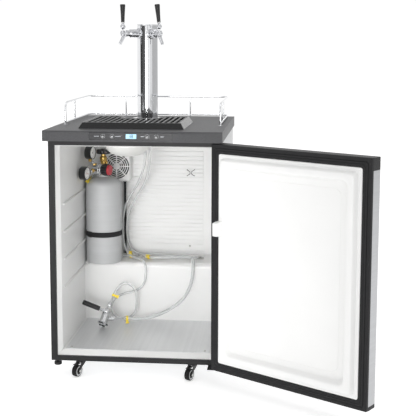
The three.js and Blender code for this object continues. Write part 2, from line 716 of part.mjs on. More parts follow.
// A grip on a rod, held by a yoke whose cheeks pass outside the coupler's body.
function couplerHandle() {
  const length = v3(COUPLER.handleEnd).distanceTo(v3(COUPLER_PIVOT));
  const grip = length - 68;
  const start = 15;
  const profile = [
    [0, start], [5, start], [5, grip], [8, grip + 1], [9.5, grip + 12], [9.5, length - 5], [7.5, length],
    [0, length],
  ];
  const shaft = turned(profile, [0, 0, 0], [1, 0, 0], 20);
  const yoke = { inner: 12.6, outer: 14.8, half: 3.5, behind: -2.5, bridge: 3 };
  const bridge = block([start, start + yoke.bridge], [-yoke.outer, yoke.outer], [-yoke.half, yoke.half]);
  const cheeks = [[yoke.inner, yoke.outer], [-yoke.outer, -yoke.inner]].map((ys) =>
    block([yoke.behind, start + 1], ys, [-yoke.half, yoke.half]),
  );
  return join(shaft, bridge, ...cheeks);
}

const GROMMET_BOTTOM = LINER.ceiling - 7.7;
const BEER_LEFT_ROUTE = [
  [-24, 397, GROMMET_BOTTOM - GAP], [-24, 398, 745], [-26, 403, 705], [-36, 412, 661], [-60, 430, 603],
  [-94, 452, 550], [-118, 476, 500], [-128, 490, 445], [-129, 494, 395], [-124, 488, 355], [-108, 468, 331],
  [-84, 446, HUMP_BEER + 5], [-58, 424, HUMP_BEER + 4], [-36, 402, HUMP_BEER + 1], [-24, 383, 296],
  [-22, 375, 270], [-26, 371, 240], [-42, 370, 216], [-70, 370, 201], [-104, 369, 192], [-136, 366, 176],
  [-152, 362, 148], [-144, 358, 118], [-118, 355, 101], [-84, 354, 104], [-60, 354, 126], [-54, 353, 156],
  [-54, 352, 188], [-60, 350, 214], [-74, 346, 232], [-92, 340, 240.5], [-109, 333, 236.5],
  [-121, 326.5, 223],
];
const BEER_RIGHT_ROUTE = [
  [-8, 397, GROMMET_BOTTOM - GAP], [-8, 398, 745], [-10, 404, 700], [-18, 416, 650], [-38, 434, 598],
  [-74, 460, 540], [-104, 486, 480], [-116, 510, 425], [-116, 522, 375], [-104, 524, 336], [-78, 518, 317],
  [-40, 510, HUMP_BEER + 0.5], [20, 503, HUMP_BEER + 0.5], [80, 492, HUMP_BEER + 0.5],
  [130, 478, HUMP_BEER + 1], [168, 466, HUMP_BEER + 1.5],
];
const BEER_NUT_END = [190, 460, HUMP_BEER + 1.5];
const GAS_FEED_ROUTE = [
  beyond(OUTLET_ROOT, GAS_OUTLET, GAP), beyond(OUTLET_ROOT, GAS_OUTLET, 9),
  [-246.5, 398, 626.5], [-250, 412, 624], [-251, 430, 620],
  [-250, 450, 609], [-245.5, 470, 588], [-241, 487, 556], [-234, 498, 505], [-226, 505, 445],
  [-216, 508, 392],
  [-198, 506, 348], [-172, 499, 324], [-144, 487, HUMP_HOSE + 1.5], [-116, 475, HUMP_HOSE + 1],
  beyond(TEE_CENTRE, TEE_LEFT, 10), beyond(TEE_CENTRE, TEE_LEFT, GAP),
];
const GAS_COUPLER_ROUTE = [
  beyond(TEE_CENTRE, TEE_RIGHT, GAP), beyond(TEE_CENTRE, TEE_RIGHT, 12), [20, 452, HUMP_HOSE + 0.5],
  [60, 461, HUMP_HOSE + 0.5], [94, 465, HUMP_HOSE + 1.5], [124, 456, HUMP_HOSE + 4],
  [143, 437, HUMP_HOSE + 7],
  [152, 414, HUMP_HOSE + 8], [156, 389, 310], [157, 373, 282], [150, 369, 238], [126, 367, 186],
  [84, 361, 148], [30, 347, 121], [-24, 327, 110], [-60, 312, 113],
];

function lineGrommet() {
  const { x, y } = TOWER;
  const profile = [[0, -7.7], [36, -7.7], [36, -GAP], [30.4, -GAP], [30.4, 20], [0, 20]];
  return turned(profile, [x, y, LINER.ceiling], [0, 0, 1], 24);
}

function lineNut() {
  const from = BEER_RIGHT_ROUTE[BEER_RIGHT_ROUTE.length - 1];
  const start = v3(from).addScaledVector(v3(BEER_NUT_END).sub(v3(from)).normalize(), GAP).toArray();
  const direction = v3(BEER_NUT_END).sub(v3(from)).toArray();
  return turned([[0, 0], [4.2, 0], [4.2, 3], [5.8, 3], [5.8, 20], [4.4, 22], [0, 22]], start, direction, 6);
}

// ---------- casters ----------
// A caster's frame has its origin on the swivel axis at floor level, with the wheel trailing towards +X.
function casterFork() {
  const { trail, wheel, width } = CASTER;
  const top = CABINET.bottom - GAP;
  const swivel = rod([0, 0, top - 7], [0, 0, top], 17, 24);
  const inner = width / 2 + 0.6;
  const outline = [[-9, 48.5], [14, 48.5], [trail + 6, wheel - 3], [trail - 6, wheel - 6], [-9, 44]];
  const arms = [-1, 1].map((side) => {
    const from = side > 0 ? inner : -inner - 2.4;
    const plate = loft(outline.map(([x, z]) => [x, -z]), from, outline.map(([x, z]) => [x, -z]), from + 2.4);
    return plate.rotate([-90, 0, 0]);
  });
  const hole = rod([trail, -30, wheel], [trail, 30, wheel], 3.4, 12);
  return cut(join(swivel, ...arms), hole);
}

function casterWheel() {
  const { trail, wheel, width } = CASTER;
  const half = width / 2;
  const axle = half + 4;
  const profile = [
    [0, -axle], [3, -axle], [3, -half], [wheel - 2, -half], [wheel, -half + 2], [wheel, half - 2],
    [wheel - 2, half], [3, half], [3, axle], [0, axle],
  ];
  return turned(profile, [trail, 0, wheel], [0, 1, 0], 24);
}

// ---------- door (drawn closed, in the frame of its hinge axis) ----------
const doorBlock = (xs, ys, zs) =>
  block(xs.map((x) => x - DOOR.pivotX), ys.map((y) => y - DOOR.pivotY), zs);
const DOOR_FRONT = -DOOR.thick;
const DOOR_TRIM = DOOR.inner - 10;
const TOP_CAP = 38;
const BOTTOM_CAP = 12;
const hingeHole = (z0, z1) => rod([0, 0, z0], [0, 0, z1], 4.6, 16);

function doorSkin() {
  const { half, bottom, top } = DOOR;
  const zs = [bottom + BOTTOM_CAP + GAP, top - TOP_CAP - GAP];
  const wrap = doorBlock([-half, half], [DOOR_FRONT, DOOR_TRIM - GAP], zs);
  const inner = [zs[0] - 1, zs[1] + 1];
  return cut(wrap, doorBlock([-half + 1.2, half - 1.2], [DOOR_FRONT + 1.2, DOOR_TRIM + 1], inner));
}

function doorTopCap() {
  const { half, top } = DOOR;
  const bar = doorBlock([-half, half], [DOOR_FRONT, DOOR_TRIM - GAP], [top - TOP_CAP, top]);
  const grip = doorBlock([-half + 40, -half + 170], [DOOR_FRONT - 1, DOOR_FRONT + 20], [top - 28, top - 8]);
  const lightening = doorBlock(
    [-half + 3, half - 30], [DOOR_FRONT + 23, DOOR_TRIM - 3], [top - TOP_CAP - 1, top - 3],
  );
  return cut(bar, grip, lightening, hingeHole(top - 16, top + 1));
}

function doorBottomCap() {
  const { half, bottom } = DOOR;
  const bar = doorBlock([-half, half], [DOOR_FRONT, DOOR_TRIM - GAP], [bottom, bottom + BOTTOM_CAP]);
  return cut(bar, hingeHole(bottom - 1, bottom + 9));
}

function doorGasket() {
  const { half, bottom, top, inner } = DOOR;
  const rim = 30;
  const opening = doorBlock([-half + rim, half - rim], [-60, 10], [bottom + rim, top - rim]);
  const trim = doorBlock([-half, half], [DOOR_TRIM, inner], [bottom, top]);
  const bead = doorBlock([-half + 12, half - 12], [inner - 1, -0.5], [bottom + 12, top - 12]);
  return cut(join(trim, bead), opening);
}

function doorLiner() {
  const { half, bottom, top, inner } = DOOR;
  const rim = 30 + GAP;
  const sheet = doorBlock([-half + rim, half - rim], [DOOR_TRIM, inner + 1], [bottom + rim, top - rim]);
  const outerDyke = [half - 42, -(bottom + 42), -(top - 42)];
  const dykeOutline = (shrink) => [
    [-outerDyke[0] + shrink, outerDyke[1] - shrink], [outerDyke[0] - shrink, outerDyke[1] - shrink],
    [outerDyke[0] - shrink, outerDyke[2] + shrink], [-outerDyke[0] + shrink, outerDyke[2] + shrink],
  ];
  const place = (shape) => shape.rotate([-90, 0, 0]).translate([-DOOR.pivotX, -DOOR.pivotY, 0]);
  const ridge = place(loft(dykeOutline(0), inner, dykeOutline(8), 20));
  const well = place(loft(dykeOutline(36), inner + 1, dykeOutline(28), 21));
  const boss = doorBlock([226, 247], [inner, 55], [520, 568]);
  return join(cut(join(sheet, ridge), well), boss);
}

// ---------- hinges ----------
function topHinge() {
  const { pivotX, pivotY, top } = DOOR;
  const plate = block([pivotX - 34, CABINET.half], [pivotY - 12, 40], [CABINET.top + GAP, HOOD.bottom - GAP]);
  return join(plate, rod([pivotX, pivotY, top - 12], [pivotX, pivotY, HOOD.bottom - GAP], 4, 16));
}

function bottomHinge() {
  const { pivotX, pivotY, bottom } = DOOR;
  const high = CABINET.bottom - GAP;
  const plate = block([pivotX - 34, CABINET.half], [pivotY - 12, 44], [high - 3, high]);
  const nub = rod([pivotX, pivotY, high - 8], [pivotX, pivotY, high - 1], 6, 16);
  return join(plate, nub, rod([pivotX, pivotY, high - 2], [pivotX, pivotY, bottom + 7], 4, 16));
}

// ---------- assembly ----------
const kegerator = new THREE.Group();
const add = (name, shape, finish, parent = kegerator) => parent.add(piece(name, shape, FINISH[finish]));

add("outer_shell", outerShell(), "greyPaint");
add("face_frame", faceFrame(), "blackPaint");
add("inner_liner", innerLiner(), "whitePlastic");
add("floor_plate", floorPlate(), "stainless");
add("rear_grille", rearGrille(), "blackPaint");
add("compressor", compressor(), "blackPaint");
add("hood_top", hoodTop(), "hoodBlack");
add("control_panel", controlPanel(), "blackPlastic");
add("display_window", displayWindow(), "glass");
for (const [name, x] of Object.entries(BUTTON_XS)) add(name, touchButton(x), "blackPlastic");
add("guard_rail", guardRail(), "chrome");
add("drip_tray", dripTray(), "blackPlastic");
add("drip_grate", dripGrate(), "blackPlastic");
add("tower_base", towerBase(), "chrome");
add("tower_column", towerColumn(), "chrome");
add("tower_cap", towerCap(), "chrome");

const taps = [["left", TAP.leftTurn, 0], ["right", TAP.rightTurn, TAP.rightRoll]];
for (const [side, turn, roll] of taps) {
  const frame = tapFrame(turn);
  add(`shank_${side}`, tapShank(), "chrome", frame);
  const rolled = new THREE.Group();
  rolled.rotation.x = THREE.MathUtils.degToRad(roll);
  frame.add(rolled);
  add(`faucet_${side}`, tapFaucet(), "chrome", rolled);
  const lever = piece(`tap_lever_${side}`, tapLever(), FINISH.blackPlastic);
  lever.position.set(TAP.lever, 0, TAP.pivot);
  rolled.add(lever);
  kegerator.add(frame);
}

add("line_grommet", lineGrommet(), "rubber");
add("lamp_cover", lampCover(), "whitePlastic");
add("fan_cover", fanCover(), "whitePlastic");
add("fan_rotor", fanRotor(), "blackPlastic");
add("co2_cylinder", gasCylinder(), "aluminium");
add("cylinder_strap", cylinderStrap(), "strap");
add("cylinder_valve", cylinderValve(), "brass");
add("valve_handwheel", valveHandwheel(), "blackPlastic");
add("regulator_body", regulatorBody(), "chrome");
add("high_pressure_gauge", gauge(HIGH_GAUGE, [0, 0, -1]), "blackPlastic");
add("low_pressure_gauge", gauge(LOW_GAUGE, [-KNOB_AXIS[1], KNOB_AXIS[0], 0]), "blackPlastic");
add("regulator_knob", regulatorKnob(), "blackPlastic");
add("gas_tee", gasTee(), "chrome");
add("coupler_body", couplerBody(), "chrome");
const handlePlace = handleFrame();
add("coupler_handle", couplerHandle(), "blackPlastic", handlePlace);
kegerator.add(handlePlace);
const couplerTopEnd = [beyond(COUPLER.tip, COUPLER.top, 14), beyond(COUPLER.tip, COUPLER.top, GAP)];
const couplerBarbEnd = [beyond(BARB_ROOT, COUPLER.barb, 12), beyond(BARB_ROOT, COUPLER.barb, GAP)];
add("beer_line_left", hose([...BEER_LEFT_ROUTE, ...couplerTopEnd], BEER_HOSE, 20), "clearHose");
add("beer_line_right", hose(BEER_RIGHT_ROUTE, BEER_HOSE, 20), "clearHose");
add("gas_line_feed", hose(GAS_FEED_ROUTE, GAS_HOSE, 22), "clearHose");
add("gas_line_coupler", hose([...GAS_COUPLER_ROUTE, ...couplerBarbEnd], GAS_HOSE, 17), "clearHose");
add("beer_line_nut", lineNut(), "stainless");

const casters = [
  ["front_left", -CASTER.x, CASTER.front, -112],
  ["front_right", CASTER.x, CASTER.front, -112],
  ["rear_left", -CASTER.x, CASTER.rear, -96],
  ["rear_right", CASTER.x, CASTER.rear, -96],
];
for (const [place, x, y, heading] of casters) {
  const frame = new THREE.Group();
  frame.position.set(x, y, 0);
  frame.rotation.z = THREE.MathUtils.degToRad(heading);
  add(`caster_fork_${place}`, casterFork(), "blackPaint", frame);
  add(`caster_wheel_${place}`, casterWheel(), "rubber", frame);
  kegerator.add(frame);
}

const door = new THREE.Group();
door.position.set(DOOR.pivotX, DOOR.pivotY, 0);
door.rotation.z = THREE.MathUtils.degToRad(DOOR.open);
add("door_skin", doorSkin(), "stainless", door);
add("door_top_cap", doorTopCap(), "blackPlastic", door);
add("door_bottom_cap", doorBottomCap(), "blackPlastic", door);
add("door_gasket", doorGasket(), "rubber", door);
add("door_liner", doorLiner(), "whitePlastic", door);
kegerator.add(door);
add("top_hinge", topHinge(), "blackPaint");
add("bottom_hinge", bottomHinge(), "blackPaint");

const middle = new THREE.Box3().setFromObject(kegerator, true).getCenter(new THREE.Vector3());
kegerator.position.set(-middle.x, -middle.y, 0);

export default kegerator;
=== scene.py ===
"""Looks of a dual-tap kegerator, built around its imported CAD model. Blender 4.5, +Z up.

Shapes are in millimetres in the cabinet's own frame, or in a frame of their own inside it; CABINET takes
them to the row frame, in metres. Materials, lights and the stage are in metres.
"""

import math

import bmesh
import bpy
from mathutils import Matrix, Vector


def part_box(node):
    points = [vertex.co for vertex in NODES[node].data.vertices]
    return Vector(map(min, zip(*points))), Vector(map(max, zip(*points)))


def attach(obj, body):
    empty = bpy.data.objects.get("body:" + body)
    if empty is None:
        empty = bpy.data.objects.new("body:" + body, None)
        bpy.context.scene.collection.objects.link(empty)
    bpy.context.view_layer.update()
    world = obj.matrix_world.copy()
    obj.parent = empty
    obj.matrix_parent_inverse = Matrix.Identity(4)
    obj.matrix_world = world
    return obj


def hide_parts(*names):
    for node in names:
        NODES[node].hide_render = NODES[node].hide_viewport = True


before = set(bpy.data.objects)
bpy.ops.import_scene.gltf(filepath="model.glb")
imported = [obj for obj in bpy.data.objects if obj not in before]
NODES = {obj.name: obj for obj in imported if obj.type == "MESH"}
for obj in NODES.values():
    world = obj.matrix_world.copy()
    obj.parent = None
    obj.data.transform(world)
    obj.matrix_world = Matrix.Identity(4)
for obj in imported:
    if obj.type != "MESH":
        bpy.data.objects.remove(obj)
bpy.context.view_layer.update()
scene = bpy.context.scene

# ---------- driving dimensions, in the cabinet's own frame ----------
# Millimetres: x from the cabinet's middle, y from the front face of the black door frame, z from the floor.
MM = 0.001
HOOD_FRONT = -54
hood_low, hood_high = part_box("hood_top")
CABINET = Matrix.Translation(((hood_low.x + hood_high.x) / 2, hood_low.y - HOOD_FRONT * MM,
                              0)) @ Matrix.Scale(MM, 4)
HOOD_TOP = 850
DOOR_PIVOT = Vector((281.35, -27.6, 0))
DOOR_OPEN = math.radians(147)
DOOR = CABINET @ Matrix.Translation(DOOR_PIVOT) @ Matrix.Rotation(DOOR_OPEN, 4, "Z")
DOOR = DOOR @ Matrix.Translation(-DOOR_PIVOT)
DOOR_MIDDLE_Z = 433.45
TOWER = Vector((-16, 405, 0))
TAP_Z = 1168
TAP_PIVOT = 12.5
LEVER_REACH = 101
LEFT_TURN, RIGHT_TURN, RIGHT_ROLL = -53, 35, 6
CYLINDER = Vector((-186, 408, 308.3))
REGULATOR = Vector((-192, 345, 668))
KNOB_HEADING = math.radians(75 - 90)
KNOB_AXIS = Vector((math.cos(KNOB_HEADING), math.sin(KNOB_HEADING), 0))
COUPLER_TIP = Vector((-172, 261, 91.5))
COUPLER_TOP = Vector((-136, 310, 193))
COUPLER_BARB = Vector((-90, 300, 119))
COUPLER_HANDLE_END = Vector((-245, 290, 178))
COUPLER_AXIS = (COUPLER_TOP - COUPLER_TIP).normalized()
BEER_HOSE = 9
GAS_HOSE = 12
UP = Vector((0, 0, 1))

# ---------- camera ----------
camera_data = bpy.data.cameras.new("camera")
camera = bpy.data.objects.new("camera", camera_data)
scene.collection.objects.link(camera)
scene.camera = camera
camera_data.sensor_width = 36
camera_data.lens = 81.13
camera_data.shift_y = -0.135
camera.location = CABINET @ Vector((512, -3046, 1147))
camera.rotation_euler = (math.radians(90 - 6.835), math.radians(-0.17), math.radians(5.03))


# ---------- materials ----------
def shade(colour, factor):
    return (*[min(1.0, c * factor) for c in colour], 1.0)


def linear(red, green, blue):
    """An sRGB colour from 0 to 255 as the linear values that the shader takes."""
    return tuple(((c / 255 + 0.055) / 1.055) ** 2.4 if c > 10 else c / 3294 for c in (red, green, blue))


def feed(tree, node, inputs):
    """Gives each named input of a node its value, or links it when the value is another node's socket."""
    for name, value in inputs.items():
        socket = node.inputs[name.replace("_", " ")]
        if isinstance(value, bpy.types.NodeSocket):
            tree.links.new(value, socket)
        else:
            socket.default_value = value


def add(tree, kind, **inputs):
    node = tree.nodes.new("ShaderNode" + kind)
    feed(tree, node, inputs)
    return node


def set_shader(mat, **inputs):
    feed(mat.node_tree, mat.node_tree.nodes["Principled BSDF"], inputs)
    return mat


def surface(name, colour, rough, metallic=0.0, mottle=(30, 0.06), grain=(900, 0.1), stretch=(1, 1, 1),
            coat=0.0, relief=0.0003, gloss=0.5):
    """A procedural surface: colour and roughness vary with a mottle, and a fine grain raises the normal.
    mottle is (scale, amount), grain is (scale, strength), and stretch makes either run along an axis."""
    mat = bpy.data.materials.new(name)
    mat.use_nodes = True
    tree = mat.node_tree
    place = add(tree, "TexCoord")
    mapping = add(tree, "Mapping", Vector=place.outputs["Object"], Scale=stretch)
    cloud = add(tree, "TexNoise", Vector=mapping.outputs["Vector"], Scale=mottle[0], Detail=5)
    ramp = add(tree, "ValToRGB", Fac=cloud.outputs["Fac"])
    ramp.color_ramp.elements[0].position = 0.3
    ramp.color_ramp.elements[1].position = 0.7
    ramp.color_ramp.elements[0].color = shade(colour, 1 - mottle[1])
    ramp.color_ramp.elements[1].color = shade(colour, 1 + mottle[1])
    smoothest, roughest = max(0.02, rough * 0.82), min(1.0, rough * 1.2)
    spread = add(tree, "MapRange", Value=cloud.outputs["Fac"], To_Min=smoothest, To_Max=roughest)
    fine = add(tree, "TexNoise", Vector=mapping.outputs["Vector"], Scale=grain[0], Detail=3)
    bump = add(tree, "Bump", Height=fine.outputs["Fac"], Strength=grain[1], Distance=relief)
    return set_shader(mat, Metallic=metallic, Coat_Weight=coat, Specular_IOR_Level=gloss,
                      Base_Color=ramp.outputs["Color"], Roughness=spread.outputs["Result"],
                      Normal=bump.outputs["Normal"])


def woven(name, colour, pitch):
    """Webbing: crossed bands at the thread pitch, in metres."""
    mat = surface(name, colour, 0.85, mottle=(120, 0.25), grain=(2500, 0.3))
    tree = mat.node_tree
    place = add(tree, "TexCoord")
    both = tree.nodes.new("ShaderNodeMath")
    both.operation = "MAXIMUM"
    for i, direction in enumerate("XZ"):
        wave = add(tree, "TexWave", Scale=0.314 / pitch, Vector=place.outputs["Object"])
        wave.bands_direction = direction
        tree.links.new(wave.outputs["Fac"], both.inputs[i])
    bump = add(tree, "Bump", Height=both.outputs["Value"], Distance=0.0004)
    return set_shader(mat, Normal=bump.outputs["Normal"])


GREY_PAINT = surface("grey_paint", linear(196, 197, 198), 0.42, mottle=(6, 0.03), grain=(700, 0.25))
BLACK_PAINT = surface("black_paint", linear(38, 38, 39), 0.36, mottle=(20, 0.1), grain=(900, 0.25),
                      gloss=0.2)
DARK_METAL = surface("dark_metal", linear(26, 26, 27), 0.42, 0.3, mottle=(60, 0.2), grain=(1200, 0.3))
HOOD = surface("hood_grain", linear(76, 76, 78), 0.4, mottle=(450, 0.22), grain=(1400, 0.8), gloss=0.2)
CHARCOAL = surface("charcoal_trim", linear(32, 32, 33), 0.4, mottle=(300, 0.15), grain=(1300, 0.6),
                   gloss=0.2)
LINER = surface("liner", linear(236, 236, 235), 0.38, mottle=(5, 0.02), grain=(160, 0.06), relief=0.0006)
DOOR_WHITE = surface("door_white", linear(233, 233, 232), 0.36, mottle=(5, 0.015), grain=(160, 0.05),
                     relief=0.0006)
STAINLESS = surface("brushed_stainless", linear(182, 183, 185), 0.34, 1.0, mottle=(30, 0.05),
                    grain=(500, 0.25), stretch=(0.04, 0.04, 6))
FLOOR_STEEL = surface("floor_steel", linear(224, 225, 226), 0.36, 0.55, mottle=(14, 0.04), grain=(500, 0.2),
                      stretch=(6, 0.1, 1))
TAP_CHROME = surface("tap_chrome", linear(205, 206, 209), 0.12, 1.0, mottle=(40, 0.03), grain=(300, 0.02))
CASTING = surface("cast_chrome", linear(212, 213, 215), 0.16, 1.0, mottle=(60, 0.05), grain=(700, 0.12))
CHROME = surface("chrome", linear(232, 233, 235), 0.07, 1.0, mottle=(40, 0.02), grain=(300, 0.02))
NICKEL = surface("nickel", linear(196, 195, 192), 0.25, 1.0, mottle=(90, 0.06), grain=(900, 0.12))
ALUMINIUM = surface("spun_aluminium", linear(192, 193, 194), 0.5, 0.1, mottle=(16, 0.03), grain=(420, 0.2),
                    stretch=(0.15, 0.15, 5), gloss=0.3)
BRASS = surface("brass", linear(196, 164, 96), 0.28, 1.0, mottle=(70, 0.12), grain=(800, 0.12))
BLACK_PLASTIC = surface("black_plastic", linear(24, 24, 25), 0.34, mottle=(250, 0.15), grain=(1500, 0.35))
GLOSS_BLACK = surface("gloss_black", linear(20, 20, 22), 0.14, mottle=(30, 0.1), grain=(200, 0.02),
                      coat=0.5)
PANEL_BLACK = surface("panel_black", linear(44, 44, 46), 0.24, mottle=(30, 0.08), grain=(200, 0.03),
                      coat=0.1, gloss=0.2)
RUBBER = surface("gasket_rubber", linear(38, 38, 39), 0.55, mottle=(70, 0.12), grain=(1800, 0.4), gloss=0.2)
TYRE = surface("tyre", linear(24, 24, 25), 0.6, mottle=(120, 0.2), grain=(2200, 0.6), gloss=0.2)
# Light grey for the rings on the caster wheels' sides: a painted highlight, standing in for the light the
# rounded sides catch.
WHEEL_HIGHLIGHT_GREY = surface("wheel_side_highlight", linear(196, 197, 198), 0.45, mottle=(120, 0.06), grain=(1200, 0.3))
YELLOW = surface("yellow_clamp", linear(240, 214, 60), 0.4, mottle=(200, 0.08), grain=(1500, 0.2))
RED = surface("red_cap", linear(176, 44, 54), 0.35, mottle=(150, 0.1), grain=(1200, 0.15))
DIAL = surface("dial_face", linear(240, 240, 236), 0.5, mottle=(200, 0.03), grain=(1500, 0.05))
INK = surface("dial_ink", linear(24, 24, 26), 0.6, mottle=(300, 0.1), grain=(1500, 0.1))
LABEL = surface("label_white", linear(205, 208, 212), 0.5, mottle=(300, 0.05), grain=(1500, 0.1))
MILKY = surface("milky_lamp", linear(214, 214, 211), 0.3, mottle=(12, 0.03), grain=(60, 0.05))
WEBBING = woven("webbing", linear(34, 34, 36), 0.0011)
TRAY_BLACK = surface("tray_plastic", linear(15, 15, 16), 0.24, mottle=(250, 0.12), grain=(1400, 0.15),
                     coat=0.2, gloss=0.35)
GRATE_BLACK = surface("grate_plastic", linear(30, 30, 31), 0.34, mottle=(250, 0.12), grain=(1400, 0.2),
                      gloss=0.45)
PRINT = surface("panel_print", linear(150, 152, 154), 0.5, mottle=(300, 0.05), grain=(1500, 0.1))


def clear(name, colour, alpha, rough):
    mat = surface(name, colour, rough, mottle=(60, 0.05), grain=(300, 0.08))
    return set_shader(mat, Alpha=alpha, Specular_IOR_Level=0.7)


BEER_TUBE = clear("beer_tube", linear(228, 230, 230), 0.5, 0.2)
GAS_TUBE = clear("gas_tube", linear(224, 226, 226), 0.58, 0.22)
LENS = clear("gauge_lens", linear(250, 250, 250), 0.12, 0.05)

GLOW = surface("display_glow", linear(150, 200, 226), 0.2, mottle=(90, 0.06), grain=(300, 0.02))
set_shader(GLOW, Emission_Color=(0.35, 0.62, 0.85, 1), Emission_Strength=0.4)


# ---------- shapes: (points, faces) in one local frame ----------
def merge(*shapes):
    points, faces = [], []
    for some_points, some_faces in shapes:
        start = len(points)
        points += some_points
        faces += [[start + i for i in face] for face in some_faces]
    return points, faces


def moved(shape, matrix):
    return [matrix @ p for p in shape[0]], shape[1]


def spun(degrees, axis):
    return Matrix.Rotation(math.radians(degrees), 4, axis)


def facing(axis, origin=(0, 0, 0)):
    """The matrix that stands +Z along axis, at origin."""
    return Matrix.Translation(origin) @ UP.rotation_difference(Vector(axis)).to_matrix().to_4x4()


def rings(loops, closed_ends=True, ring_closed=False):
    """Joins loops of equally many points. ring_closed joins the last loop back to the first."""
    count = len(loops[0])
    points = [Vector(p) for loop in loops for p in loop]
    faces = []
    total = len(loops)
    for i in range(total if ring_closed else total - 1):
        a, b = i * count, ((i + 1) % total) * count
        faces += [[a + k, a + (k + 1) % count, b + (k + 1) % count, b + k] for k in range(count)]
    if closed_ends and not ring_closed:
        faces.append(list(range(count))[::-1])
        faces.append([(total - 1) * count + k for k in range(count)])
    return points, faces


def turned(profile, origin=(0, 0, 0), axis=(0, 0, 1), sides=64):
    """A solid of revolution from (radius, distance) pairs. A pair with no radius closes an end on the axis.
    When no pair has, the profile closes on itself, as a ring."""
    matrix = facing(axis, origin)
    hollow = all(r > 0 for r, _ in profile)
    body = [(r, h) for r, h in profile if r > 0]
    loops = []
    for radius, height in body:
        turns = [2 * math.pi * k / sides for k in range(sides)]
        loops.append([Vector((radius * math.cos(t), radius * math.sin(t), height)) for t in turns])
    return moved(rings(loops, closed_ends=not hollow, ring_closed=hollow), matrix)


def disc(radius, low, high, origin=(0, 0, 0), axis=(0, 0, 1), sides=64):
    """A plain cylinder from distance low to distance high along its axis."""
    return turned([(0, low), (radius, low), (radius, high), (0, high)], origin, axis, sides)


def rod(start, end, radius, sides=24):
    start, end = Vector(start), Vector(end)
    return disc(radius, 0, (end - start).length, start, end - start, sides)


def block(xs, ys, zs):
    points = [Vector((x, y, z)) for z in zs for x,
              y in ((xs[0], ys[0]), (xs[1], ys[0]), (xs[1], ys[1]), (xs[0], ys[1]))]
    faces = [[3, 2, 1, 0], [4, 5, 6, 7], [0, 1, 5, 4], [1, 2, 6, 5], [2, 3, 7, 6], [3, 0, 4, 7]]
    return points, faces


def rounded_loop(half_width, half_height, radius, steps=6):
    """A rectangle with round corners, as (u, v) pairs."""
    loop = []
    for corner, (sx, sy) in enumerate(((1, 1), (-1, 1), (-1, -1), (1, -1))):
        for i in range(steps + 1):
            angle = math.radians(90 * corner + 90 * i / steps)
            u = sx * (half_width - radius) + radius * math.cos(angle)
            v = sy * (half_height - radius) + radius * math.sin(angle)
            loop.append((u, v))
    return loop


def smooth_line(points, step=6):
    """Evenly spaced points on a Catmull-Rom curve through the given ones."""
    given = [Vector(p) for p in points]
    given = [2 * given[0] - given[1], *given, 2 * given[-1] - given[-2]]
    line = []
    for a, b, c, d in zip(given, given[1:], given[2:], given[3:]):
        count = max(2, int((c - b).length / step))
        knots = [0.0]
        for p, q in ((a, b), (b, c), (c, d)):
            knots.append(knots[-1] + max((q - p).length, 1e-6) ** 0.5)
        for i in range(count):
            t = knots[1] + (knots[2] - knots[1]) * i / count
            line.append(on_curve((a, b, c, d), knots, t))
    line.append(given[-2])
    return line


def on_curve(four, knots, t):
    """The point at knot value t on the Catmull-Rom segment between the middle two of four points."""
    def blend(p, q, start, end):
        return p * ((end - t) / (end - start)) + q * ((t - start) / (end - start))

    first = [blend(four[i], four[i + 1], knots[i], knots[i + 1]) for i in range(3)]
    second = [blend(first[i], first[i + 1], knots[i], knots[i + 2]) for i in range(2)]
    return blend(second[0], second[1], knots[1], knots[2])


def tube(line, radius, sides=16):
    """A solid tube along a line of points; radius may be one number, or one for each point."""
    line = [Vector(p) for p in line]
    radii = radius if isinstance(radius, list) else [radius] * len(line)
    heading = (line[1] - line[0]).normalized()
    side = heading.orthogonal().normalized()
    loops = []
    for i, (p, r) in enumerate(zip(line, radii)):
        new = (line[min(i + 1, len(line) - 1)] - line[max(i - 1, 0)]).normalized()
        side.rotate(heading.rotation_difference(new))
        heading = new
        other = heading.cross(side)
        turns = [2 * math.pi * k / sides for k in range(sides)]
        loops.append([p + r * (math.cos(t) * side + math.sin(t) * other) for t in turns])
    return rings(loops)


def bent(corners, radius, steps=8):
    """Straight runs joined by round bends."""
    line = [Vector(corners[0])]
    for before, corner, after in zip(corners, corners[1:], corners[2:]):
        corner = Vector(corner)
        start = corner + (Vector(before) - corner).normalized() * radius
        end = corner + (Vector(after) - corner).normalized() * radius
        for i in range(steps + 1):
            t = i / steps
            line.append(start * (1 - t) ** 2 + corner * 2 * t * (1 - t) + end * t**2)
    line.append(Vector(corners[-1]))
    return line


# ---------- pieces ----------
def piece(name, shape, material, body="cabinet", place=CABINET, stands_for=(), bevel=0):
    """One visible piece that rides on a CAD body. place takes the shape's own frame to the row frame."""
    bm = bmesh.new()
    points = [bm.verts.new(place @ p) for p in shape[0]]
    for face in shape[1]:
        bm.faces.new([points[i] for i in face])
    bmesh.ops.recalc_face_normals(bm, faces=bm.faces)
    mesh = bpy.data.meshes.new(name)
    bm.to_mesh(mesh)
    bm.free()
    obj = bpy.data.objects.new(name, mesh)
    scene.collection.objects.link(obj)
    finish_mesh(obj, material, bevel)
    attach(obj, body)
    if stands_for:
        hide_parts(*([stands_for] if isinstance(stands_for, str) else stands_for))
    return obj


def finish_mesh(obj, material, bevel):
    obj.data.materials.clear()
    obj.data.materials.append(material)
    obj.data.shade_smooth()
    obj.data.set_sharp_from_angle(angle=math.radians(32))
    if bevel:
        rounding = obj.modifiers.new("rounded_edges", "BEVEL")
        rounding.width = bevel * MM
        rounding.segments = 3
        rounding.limit_method = "ANGLE"
        rounding.angle_limit = math.radians(32)
        rounding.harden_normals = True


def dress(node, material, bevel=1):
    """A CAD node that stays: its flat faces are merged, its edges rounded, and it gets its finish."""
    obj = NODES[node]
    merge_flats = obj.modifiers.new("merge_flats", "DECIMATE")
    merge_flats.decimate_type = "DISSOLVE"
    merge_flats.angle_limit = math.radians(0.5)
    finish_mesh(obj, material, bevel)
    return obj


